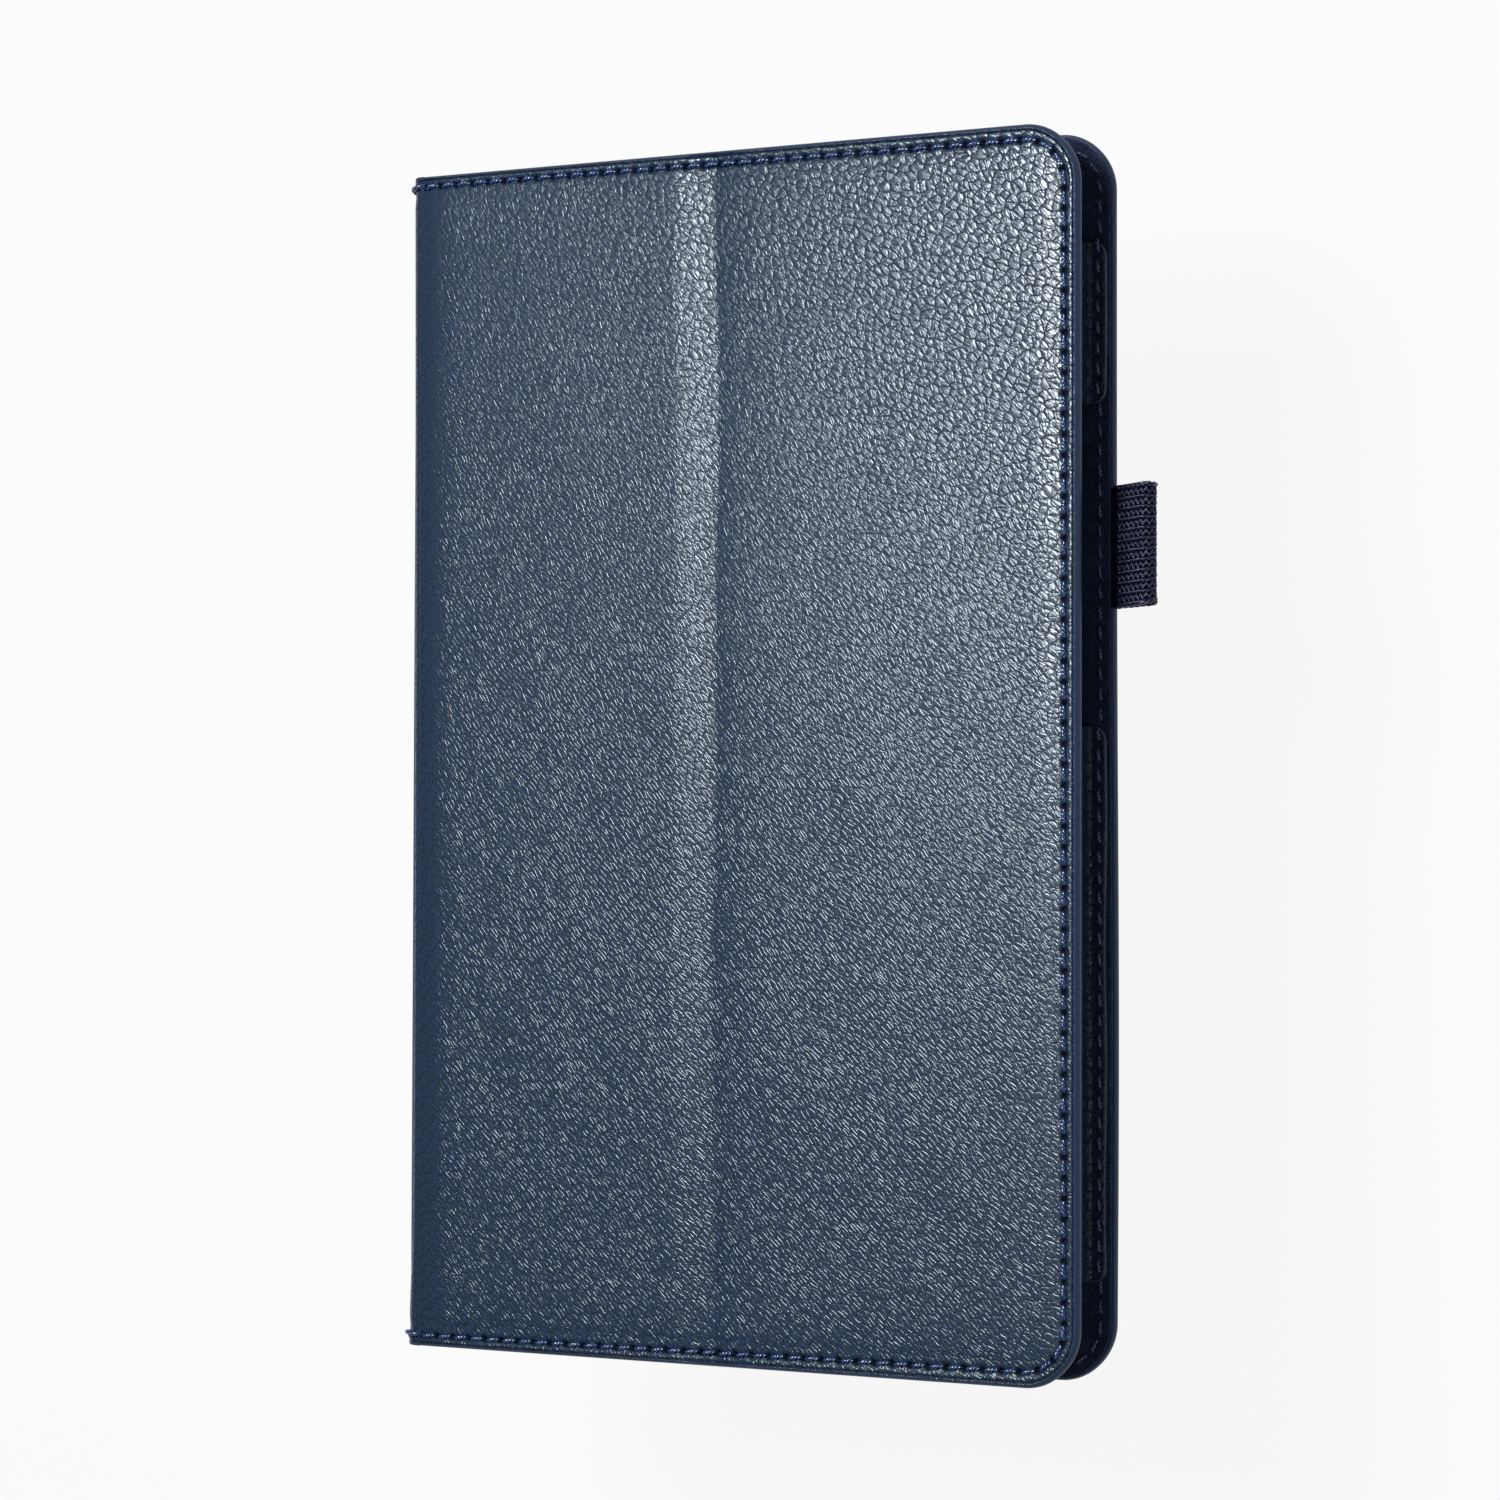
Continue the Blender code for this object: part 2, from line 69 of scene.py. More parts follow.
cover = {
    "cornerRadius": 10.5 * mm,
    "creaseFromSpine": 3.9 * mm,   # where the front leather starts, just past the hinge
    "liningFromSpine": 6.2 * mm,   # where the flat lining starts, at the board
    "outlineStep": 0.40 * mm,
    "gridStep": 4.0 * mm,
    "gridGap": 0.8 * mm,           # between the innermost ring and the grid
    "foldStep": 0.6 * mm,
    "spineStep": 0.45 * mm,
}
# how the sheet leaves the straight lines of the case
drape = {
    "spineBow": 0.45 * mm,         # how far the spine is drawn in at mid height
    "bowFades": (2 * mm, 14 * mm),
    "footFlare": 0.9 * mm,         # how far its foot stands out
    "flareFrom": 0.78,             # as a share of the half height
    "flareInside": 0.15,           # the share of the flare that reaches the lining
    "backBow": 0.75 * mm,          # the back cover's free edge bows out below its middle
    "backBowRest": 0.45,           # the share of that bow well away from its widest place
    "backBowAt": -50 * mm,
    "backBowSpread": 55 * mm,
    "backBowReach": 25 * mm,
    "endRound": 1.0 * mm,          # the sheet's ends round over at the spine
    "endRoundFades": (2 * mm, 9 * mm),
    "endRoundReach": 8 * mm,
    "marginAtSpine": 0.74,         # the sewn margin's width, as a share of the seam's inset
    "marginAtFore": 1.06,
}
# the last three settings paint shade into each stitch hole: its strength, and its width across and along the
# seam
frontSeam = {"inset": 2.7 * mm, "pitch": 3.55 * mm, "channel": 0.24 * mm, "channelWidth": 0.62 * mm,
             "swell": 0.35, "hole": 0.60 * mm, "holeRadius": 0.44 * mm, "holeShadeStrength": 2.2, "shadeAcross": 1.25,
             "shadeAlong": 1.35}
backSeam = dict(frontSeam, inset=2.5 * mm)
liningSeam = dict(frontSeam, channel=0.16 * mm, hole=0.22 * mm)
backLiningSeam = dict(liningSeam, inset=2.5 * mm)

cornerRadius = cover["cornerRadius"]
flatRun = caseDepth / 2 - hingeRadius      # half the spine's flat, measured along the leather
arcRun = hingeRadius * math.pi / 2
sheetEnd = flatRun + arcRun + foreEdge - spineFace - hingeRadius


# ways along the leather sheet, which runs from the spine's middle round each hinge to a fore edge

def alongSheet(x):
    return flatRun + arcRun + x - spineFace - hingeRadius


def wrap(side, run, y, depth):
    run, y, depth = np.broadcast_arrays(np.asarray(run, float), y, depth)
    fromEnd = halfHeight - np.abs(y)
    widening = drape["marginAtFore"] - drape["marginAtSpine"]
    margin = drape["marginAtSpine"] + widening * smooth(0, sheetEnd, run)
    inset = frontSeam["inset"]
    shift = (1 - margin) * np.minimum(fromEnd, inset) * (1 - smooth(inset, 4 * inset, fromEnd))
    rounding = (1 - smooth(*drape["endRoundFades"], run)) ** 2
    rounding = rounding * (1 - smooth(0, drape["endRoundReach"], fromEnd))
    y = np.sign(y) * (np.abs(y) + shift - drape["endRound"] * rounding)
    angle = np.clip((run - flatRun) / hingeRadius, 0, math.pi / 2)
    radius = hingeRadius - depth
    x = spineFace + hingeRadius - radius * np.cos(angle) + np.maximum(run - flatRun - arcRun, 0)
    z = caseDepth / 2 + side * (np.minimum(run, flatRun) + radius * np.sin(angle))
    # the board inside stays flat, so the lining follows the flare only a little
    flare = drape["footFlare"] * (1 - (1 - drape["flareInside"]) * smooth(0, spineThick, depth))
    flare = flare * smooth(drape["flareFrom"] * halfHeight, halfHeight, -y)
    bow = drape["spineBow"] * (1 - (y / halfHeight) ** 2) - flare
    x = x + bow * (1 - smooth(*drape["bowFades"], run))
    if side < 0:
        rest = drape["backBowRest"]
        bulge = rest + (1 - rest) * bell(y - drape["backBowAt"], drape["backBowSpread"])
        x = x + drape["backBow"] * bulge * smooth(sheetEnd - drape["backBowReach"], sheetEnd, run)
    return np.stack([x, y, z], axis=-1)


def edgeDistance(run, y):
    across = run - (sheetEnd - cornerRadius)
    up = np.abs(y) - (halfHeight - cornerRadius)
    straight = np.minimum(sheetEnd - run, halfHeight - np.abs(y))
    return np.where((across > 0) & (up > 0), cornerRadius - np.hypot(across, up), straight)


def seamLength(inset):
    return 2 * (sheetEnd - cornerRadius + (cornerRadius - inset) * math.pi / 2 + halfHeight - cornerRadius)


def seamPitch(seam):
    length = seamLength(seam["inset"])
    return length / round(length / seam["pitch"])


def seamStation(run, y, inset):
    across = np.maximum(run - (sheetEnd - cornerRadius), 0)
    up = np.abs(y) - (halfHeight - cornerRadius)
    turn = np.arctan2(across, np.maximum(up, 0))
    half = np.minimum(run, sheetEnd - cornerRadius) + (cornerRadius - inset) * turn
    half = half + np.where(across > 0, np.maximum(-up, 0), 0)
    return np.where(y >= 0, half, seamLength(inset) - half)


def seamPlace(station, inset):
    length = seamLength(inset)
    upper = station <= length / 2
    way = station if upper else length - station
    straight = sheetEnd - cornerRadius
    bend = cornerRadius - inset
    if way < straight:
        run, y = way, halfHeight - inset
    elif way < straight + bend * math.pi / 2:
        turn = (way - straight) / bend
        run = straight + bend * math.sin(turn)
        y = halfHeight - cornerRadius + bend * math.cos(turn)
    else:
        run = sheetEnd - inset
        y = halfHeight - cornerRadius - (way - straight - bend * math.pi / 2)
    return run, (y if upper else -y)


def bell(distance, width):
    return np.exp(-(distance / width) ** 2)


def smooth(low, high, value):
    t = np.clip((value - low) / (high - low), 0, 1)
    return t * t * (3 - 2 * t)


def nearSeam(run, y, seam):
    pitch = seamPitch(seam)
    way = seamStation(run, y, seam["inset"]) / pitch
    toHole = np.abs((way + 0.5) % 1.0 - 0.5) * pitch
    return edgeDistance(run, y) - seam["inset"], toHole, way


def seamDent(run, y, seam):
    off, toHole, way = nearSeam(run, y, seam)
    hole = seam["hole"] * bell(off, seam["holeRadius"]) * bell(toHole, seam["holeRadius"])
    deep = 1 + seam["swell"] * np.cos(2 * math.pi * way)          # the channel is deepest at the holes
    return seam["channel"] * bell(off, seam["channelWidth"]) * deep + hole


# painted shade: darkens the colour in the stitch holes and along the edge crease, carried in the grain's Z
def paintedHoleShade(run, y, seam):
    off, toHole = nearSeam(run, y, seam)[:2]
    across, along = (seam["holeRadius"] * seam[key] for key in ("shadeAcross", "shadeAlong"))
    shade = seam["holeShadeStrength"] * bell(off, across) * bell(toHole, along)
    fromCrease = edgeDistance(run, y) - edgeShape["creaseAt"]
    return np.minimum(shade + edgeShape["creaseShadeStrength"] * bell(fromCrease, edgeShape["creaseWidth"]), 1.0)


# relief of the two shown faces

foldShape = {"dip": 0.60 * mm, "bottomShift": 0.6 * mm, "leftWidth": 8.6 * mm, "rightEase": 6.0 * mm,
             "straight": 0.75, "inLining": 0.6,
             # each wave's height, length and start
             "wander": ((0.4 * mm, 31 * mm, 0), (0.2 * mm, 11 * mm, 1.7))}
# the fourth setting is the strength of the painted shade along the edge crease
edgeShape = {"crease": 0.22 * mm, "creaseAt": 0.98 * mm, "creaseWidth": 0.13 * mm, "creaseShadeStrength": 0.7,
             "bead": 0.10 * mm, "beadFrom": 1.3 * mm, "beadWide": 1.3 * mm,
             "boardStep": 0.14 * mm, "stepRises": (1.2 * mm, 2.2 * mm), "stepFalls": (4.4 * mm, 6.2 * mm)}
spineShape = {"crease": 0.10 * mm, "creaseAt": 3.4 * mm, "creaseWidth": 0.5 * mm, "least": 0.6,
              "waveLong": 23 * mm, "waveStart": 0.8, "roll": 0.55 * mm, "rollWidth": 7.0 * mm}
webShape = {"thick": 1.5 * mm, "atSpine": (-1.1 * mm, 0.2 * mm), "atCover": (0.2 * mm, 2.4 * mm)}


def foldDip(run, y):
    bottom = alongSheet((foldLeft + foldRight) / 2 + foldShape["bottomShift"])
    off = run - bottom - sum(high * np.sin(y / long + start) for high, long, start in foldShape["wander"])
    # a straight slope down from the inner board's edge, then a slow rise onto the outer board
    t = np.clip(1 + off / foldShape["leftWidth"], 0, 1)
    falling = foldShape["straight"] * t + (1 - foldShape["straight"]) * t * t * (3 - 2 * t)
    rising = np.exp(-np.maximum(off, 0) / foldShape["rightEase"])
    return foldShape["dip"] * np.where(off < 0, falling, rising)


def leatherDepth(side, run, y):
    edge, spine = edgeShape, spineShape
    inset = edgeDistance(run, y)
    depth = seamDent(run, y, frontSeam if side > 0 else backSeam)
    depth = depth + edge["crease"] * bell(inset - edge["creaseAt"], edge["creaseWidth"])
    acrossBead = np.clip((inset - edge["beadFrom"]) / edge["beadWide"], 0, 1)
    depth = depth - edge["bead"] * np.sin(math.pi * acrossBead)
    onStep = (1 - smooth(*edge["stepFalls"], inset)) * smooth(*edge["stepRises"], inset)
    depth = depth + edge["boardStep"] * onStep
    wave = spine["least"] + (1 - spine["least"]) * np.sin(y / spine["waveLong"] + spine["waveStart"])
    fromCrease = run - alongSheet(spineFace + spine["creaseAt"])
    depth = depth + spine["crease"] * wave * bell(fromCrease, spine["creaseWidth"])
    pastHinge = np.maximum(run - flatRun - arcRun, 0)
    rolled = np.maximum(1 - pastHinge / spine["rollWidth"], 0) ** 2 * smooth(0, flatRun, run)
    depth = depth + spine["roll"] * rolled
    return depth + foldDip(run, y) if side > 0 else depth


def liningDepth(side, run, y):
    web, webEnd = webShape["thick"], alongSheet(spineFace + hingeRadius)
    depth = spineThick + (web - spineThick) * smooth(*(flatRun + off for off in webShape["atSpine"]), run)
    depth = depth + (coverThick - web) * smooth(*(webEnd + off for off in webShape["atCover"]), run)
    depth = depth - seamDent(run, y, liningSeam if side > 0 else backLiningSeam)
    return depth - foldShape["inLining"] * foldDip(run, y) if side > 0 else depth


# mesh helpers

def makeObject(name, points, faces, finish, grain=None, slots=None):
    mesh = bpy.data.meshes.new(name)
    mesh.from_pydata([tuple(p) for p in points], [], [tuple(f) for f in faces])
    mesh.validate()
    if grain is not None:
        attribute = mesh.attributes.new("grain", "FLOAT_VECTOR", "POINT")
        attribute.data.foreach_set("vector", np.asarray(grain, np.float32).ravel())
    finishes = finish if isinstance(finish, list) else [finish]
    for material in finishes:
        mesh.materials.append(material)
    if slots is not None:
        mesh.polygons.foreach_set("material_index", np.asarray(slots, np.int32))
    builder = bmesh.new()
    builder.from_mesh(mesh)
    bmesh.ops.recalc_face_normals(builder, faces=builder.faces)
    builder.to_mesh(mesh)
    builder.free()
    mesh.shade_smooth()
    mesh.set_sharp_from_angle(angle=math.radians(50))
    made = bpy.data.objects.new(name, mesh)
    bpy.context.scene.collection.objects.link(made)
    return made


def strip(first, second, closed=False):
    count = len(first)
    last = count if closed else count - 1
    return [(first[i], first[(i + 1) % count], second[(i + 1) % count], second[i]) for i in range(last)]


def loft(loops, closed=False):
    following = loops[1:] + (loops[:1] if closed else [])
    return [face for pair in zip(loops, following) for face in strip(*pair, closed=True)]


def distances(path):
    return np.concatenate([[0], np.cumsum(np.hypot(*np.diff(path, axis=0).T))])


def outlinePath(inset, start):
    step = cover["outlineStep"]
    straight = sheetEnd - cornerRadius - start
    topCount = max(int(straight / step), 2)
    bendCount = int(cornerRadius * math.pi / 2 / step)
    sideCount = int(2 * (halfHeight - cornerRadius) / step)
    bend = cornerRadius - inset
    high = halfHeight - cornerRadius
    points = []
    for i in range(topCount):
        points.append((start + straight * i / topCount, halfHeight - inset, 0, 1))
    for i in range(bendCount):
        turn = 0.5 * math.pi * i / bendCount
        out = (math.sin(turn), math.cos(turn))
        points.append((sheetEnd - cornerRadius + bend * out[0], high + bend * out[1], *out))
    for i in range(sideCount + 1):
        points.append((sheetEnd - inset, high - 2 * high * i / sideCount, 1, 0))
    mirrored = [(run, -y, outRun, -outY) for run, y, outRun, outY in points[: topCount + bendCount]]
    return np.array(points + mirrored[::-1])


def grown(slot, by):
    return dict(slot, halfLength=slot["halfLength"] + by, radius=slot["radius"] + by)


def slotPath(slot, steps=14):
    run, y, radius = slot["run"], slot["y"], slot["radius"]
    bend = run + slot["halfLength"] - radius
    turns = np.linspace(-0.5 * math.pi, 0.5 * math.pi, steps)
    right = [(bend + radius * math.cos(a), y + radius * math.sin(a)) for a in turns]
    left = [(2 * run - x, 2 * y - up) for x, up in right]
    return np.array(right + left)


def triangulate(places, loops):
    flat = [Vector((run / mm, y / mm)) for run, y in places]
    edges = [(a, b) for loop in loops for a, b in zip(loop, loop[1:] + loop[:1])]
    found = delaunay_2d_cdt(flat, edges, [], 0, 1e-5)
    origin = [ids[0] for ids in found[3]]
    return [tuple(origin[i] for i in face) for face in found[2]]


def insideSlot(places, slot):
    run = np.maximum(np.abs(places[:, 0] - slot["run"]) - (slot["halfLength"] - slot["radius"]), 0)
    return np.hypot(run, places[:, 1] - slot["y"]) < slot["radius"]


def outsideSlot(faces, places, slot):
    middles = np.array([places[list(face)].mean(axis=0) for face in faces])
    gone = insideSlot(middles, grown(slot, -0.001 * mm))
    return [face for face, inside in zip(faces, gone) if not inside]


def gridYs(rings):
    inner = halfHeight - rings[-1] - cover["gridGap"]
    return np.linspace(-inner, inner, int(2 * inner / cover["gridStep"]) + 1)


seamRings = [x * mm for x in (0.72, 0.80, 0.88, 0.94, 1.0, 1.06, 1.14, 1.26, 1.5, 1.8, 2.05, 2.25, 2.42,
                              2.56, 2.68, 2.8, 2.9, 3.0, 3.1, 3.2, 3.32, 3.46, 3.62, 3.85, 4.2, 4.6, 5.2,
                              6.0)]


def coverSheet(name, side, start, profile, depthAt, finish, slot=None):
    rings = [outlinePath(inset, start) for inset in seamRings]
    count = len(rings[0])
    foldMiddle = alongSheet((foldLeft + foldRight) / 2)
    runs = set(np.arange(start, sheetEnd - seamRings[-1] - cover["gridGap"], cover["gridStep"]))
    if side > 0:
        runs |= set(np.arange(foldMiddle - 10 * mm, foldMiddle + 10 * mm, cover["foldStep"]))
    runs |= set(np.arange(start, start + 3 * mm, cover["foldStep"]))
    ys = gridYs(seamRings)
    grid = np.array([(run, y) for run in sorted(runs) if run > start for y in ys])
    grid = grid[edgeDistance(grid[:, 0], grid[:, 1]) > seamRings[-1] + 0.5 * mm]
    splitLine = np.array([(start, y) for y in ys])
    places = [ring[:, :2] for ring in rings] + [splitLine, grid]
    firstSplit = count * len(rings)
    border = list(range(count))
    border += [count * k + count - 1 for k in range(1, len(rings))]
    border += list(range(firstSplit, firstSplit + len(ys)))
    border += [count * k for k in range(len(rings) - 1, 0, -1)]
    loops = [border]
    if slot:
        lip = slotPath(slot)
        places[-1] = grid[~insideSlot(grid, grown(slot, 1.5 * mm))]
        before = sum(len(p) for p in places)
        places += [lip, slotPath(grown(slot, 0.7 * mm))]
        loops.append(list(range(before, before + len(lip))))
    places = np.concatenate(places)
    faces = triangulate(places, loops)
    if slot:
        faces = outsideSlot(faces, places, slot)
    depths = depthAt(side, places[:, 0], places[:, 1])
    points = [wrap(side, places[:, 0], places[:, 1], depths)]
    # painted shade for the stitch holes and the edge crease, kept in the grain's Z
    shade = paintedHoleShade(places[:, 0], places[:, 1], frontSeam if side > 0 else backSeam)
    grain = [np.stack([side * places[:, 0] / mm, places[:, 1] / mm, shade], axis=-1)]
    total = len(places)
    # the turned edge, from the shown face to the hidden one
    previous = list(range(count))
    wallEnds = []
    for inset, depth in reversed(profile):
        ring = outlinePath(inset, start)
        points.append(wrap(side, ring[:, 0], ring[:, 1], depth))
        way = ring[:, :2] + ring[:, 2:] * abs(depth - depths[0])
        grain.append(np.stack([side * way[:, 0], way[:, 1], np.full(count, -mm)], axis=-1) / mm)
        ids = list(range(total, total + count))
        faces += strip(previous, ids)
        wallEnds.append((ids[0], ids[-1]))
        previous = ids
        total += count
    hiddenLoop = list(previous)
    if slot:
        wall = loops[1]
        lip = places[wall]
        for depth in np.linspace(depths[wall[0]], profile[0][1], 5)[1:]:
            points.append(wrap(side, lip[:, 0], lip[:, 1], depth))
            grain.append(np.stack([side * lip[:, 0], lip[:, 1] + depth, 0 * lip[:, 0]], axis=-1) / mm)
            ids = list(range(total, total + len(wall)))
            faces += strip(wall, ids, closed=True)
            wall = ids
            total += len(ids)
        hidden = np.concatenate([outlinePath(profile[0][0], start)[:, :2], lip])
        ids = hiddenLoop + wall
        back = triangulate(hidden, [list(range(count)), list(range(count, count + len(wall)))])
        faces += [tuple(ids[i] for i in face) for face in outsideSlot(back, hidden, slot)]
    else:
        faces.append(tuple(hiddenLoop))
    edgeEnds = [a for a, b in wallEnds] + [b for a, b in reversed(wallEnds)]
    faces.append(tuple(border[count - 1:] + [0] + edgeEnds))
    return makeObject(name, np.concatenate(points), faces, finish, np.concatenate(grain))


def spineSheet(name, side, end, profile, depthAt, hiddenAt, finish):
    runs = np.linspace(0, end, int(end / cover["spineStep"]) + 1)
    ringYs = np.array([halfHeight - inset for inset in seamRings])
    ys = np.concatenate([-ringYs, gridYs(seamRings), ringYs[::-1]])
    columns = len(runs)
    runGrid, yGrid = np.meshgrid(runs, ys)
    runFlat, yFlat = runGrid.ravel(), yGrid.ravel()
    depths = depthAt(side, runFlat, yFlat)
    points = [wrap(side, runFlat, yFlat, depths)]
    # painted shade for the stitch holes and the edge crease, kept in the grain's Z
    shade = paintedHoleShade(runFlat, yFlat, frontSeam if side > 0 else backSeam)
    grain = [np.stack([side * runFlat / mm, yFlat / mm, shade], axis=-1)]
    rows = [list(range(k * columns, (k + 1) * columns)) for k in range(len(ys))]
    total = columns * len(ys)
    # each end's turned edge, closed by the hidden face
    hidden = hiddenAt(runs)
    shown = depthAt(side, runs, halfHeight - seamRings[0])
    for sign in (1, -1):
        for inset, share in reversed(profile):
            y = sign * (halfHeight - inset)
            depth = shown + share * (hidden - shown)
            points.append(wrap(side, runs, y, depth))
            grain.append(np.stack([side * runs, y + sign * depth, np.full(columns, -mm)], axis=-1) / mm)
            ids = list(range(total, total + columns))
            if sign > 0:
                rows.append(ids)
            else:
                rows.insert(0, ids)
            total += columns
    faces = []
    for lower, upper in zip(rows, rows[1:] + rows[:1]):
        faces += strip(lower, upper)
    faces.append(tuple(row[0] for row in rows))
    faces.append(tuple(row[-1] for row in reversed(rows)))
    return makeObject(name, np.concatenate(points), faces, finish, np.concatenate(grain))


# finishes

def newFinish(name):
    material = bpy.data.materials.new(name)
    material.use_nodes = True
    tree = material.node_tree
    return material, tree, tree.nodes["Principled BSDF"]


def fill(tree, node, inputs):
    for key, value in inputs.items():
        if isinstance(value, bpy.types.NodeSocket):
            tree.links.new(value, node.inputs[key])
        else:
            node.inputs[key].default_value = value


def put(tree, kind, inputs=None, **settings):
    node = tree.nodes.new(kind)
    for key, value in settings.items():
        setattr(node, key, value)
    fill(tree, node, inputs or {})
    return node


def maths(tree, operation, first, second=0.0, third=0.0):
    return put(tree, "ShaderNodeMath", {0: first, 1: second, 2: third}, operation=operation).outputs[0]


def times(tree, first, second):
    return maths(tree, "MULTIPLY", first, second)


def added(tree, value, share, base):
    return maths(tree, "MULTIPLY_ADD", value, share, base)


def oneLess(tree, value):
    return maths(tree, "SUBTRACT", 1.0, value)


def vectorMaths(tree, operation, first, second):
    inputs = {0: first, "Scale" if operation == "SCALE" else 1: second}
    return put(tree, "ShaderNodeVectorMath", inputs, operation=operation).outputs[0]


def ramp(tree, value, low, high, bottom=0.0, top=1.0):
    inputs = {"Value": value, "From Min": low, "From Max": high, "To Min": bottom, "To Max": top}
    return put(tree, "ShaderNodeMapRange", inputs, interpolation_type="SMOOTHSTEP").outputs["Result"]


def mixColour(tree, share, first, second):
    node = put(tree, "ShaderNodeMix", {0: share}, data_type="RGBA")
    for key, value in ((6, first), (7, second)):
        fill(tree, node, {key: value if isinstance(value, bpy.types.NodeSocket) else (*value, 1)})
    return node.outputs[2]


def moved(tree, vector, offset=(0, 0, 0), turn=0.0, scale=(1, 1, 1)):
    inputs = {"Vector": vector, "Location": offset, "Rotation": (0, 0, turn), "Scale": scale}
    return put(tree, "ShaderNodeMapping", inputs).outputs[0]


def noise(tree, vector, scale, detail=2.0, rough=0.5, dimensions="2D", output="Fac"):
    inputs = {"Vector": vector, "Scale": scale, "Detail": detail, "Roughness": rough}
    return put(tree, "ShaderNodeTexNoise", inputs, noise_dimensions=dimensions).outputs[output]


def cells(tree, vector, size, randomness):
    inputs = {"Vector": vector, "Scale": 1 / size, "Randomness": randomness}
    node = put(tree, "ShaderNodeTexVoronoi", inputs, voronoi_dimensions="2D", feature="DISTANCE_TO_EDGE")
    return node.outputs["Distance"]


def bumped(tree, height, distance, strength=1.0):
    inputs = {"Strength": strength, "Distance": distance, "Height": height}
    return put(tree, "ShaderNodeBump", inputs).outputs[0]


def grainPlace(tree):
    return put(tree, "ShaderNodeAttribute", attribute_name="grain").outputs["Vector"]


# sizes along the grain are in mm
leatherLook = {
    # crease, and dull on the next line, are painted shade: the colour and reflection tint put into the
    # creases
    "top": (0.0060, 0.0190, 0.0466), "crease": (0.0012, 0.0025, 0.007), "side": (0.011, 0.025, 0.062),
    "gloss": 0.82, "tint": (0.86, 0.95, 1.0), "dull": 0.10, "sideShine": 0.2,
    "roughTop": 0.25, "roughCrease": 0.55, "relief": 0.10 * mm,
    "drift": ((0.045, 2.2), (0.42, 0.65)),      # scale and reach of each wandering
    "pebble": 1.55, "pebbleLong": 0.75, "pebbleCross": 1.12, "pebbleTurn": math.radians(24),
    "pebbleLoose": 0.85, "pebbleWall": 0.55, "pebbleShare": 0.46, "creaseWidth": 0.13, "creaseShare": 0.22,
    "leastCut": 0.12, "fleck": 0.95, "fleckLong": 0.46, "fleckCross": 1.25, "fleckTurn": math.radians(46),
    "fleckLoose": 0.95, "fleckWall": 0.15, "fleckShare": 0.34, "fleckEase": -0.3, "scatter": 0.65,
    "scatterScale": 0.55, "wrinkle": 0.40, "wrinkleShare": 0.16, "unbroken": 0.3, "breakScale": 0.8,
    "gap": 0.05, "gapWidth": 0.23, "leeShift": 0.15, "leeTone": 0.80, "leeBold": 0.50,
    "boldAtFoot": 0.05, "boldAcross": 0.0032, "boldUp": 0.0036, "boldPatch": 0.15, "patchScale": 0.045,
    "softest": 0.10, "spineEnds": (11.0, 17.0), "onSpine": 0.35,    # the relief is fainter round the spine
}
# a lighter, less glossy copy of the cover leather for the pocket walls: painted light for walls that lie in
# the covers' shade
wallLitLook = dict(leatherLook, top=(0.013, 0.025, 0.050), crease=(0.003, 0.006, 0.014), gloss=0.45)


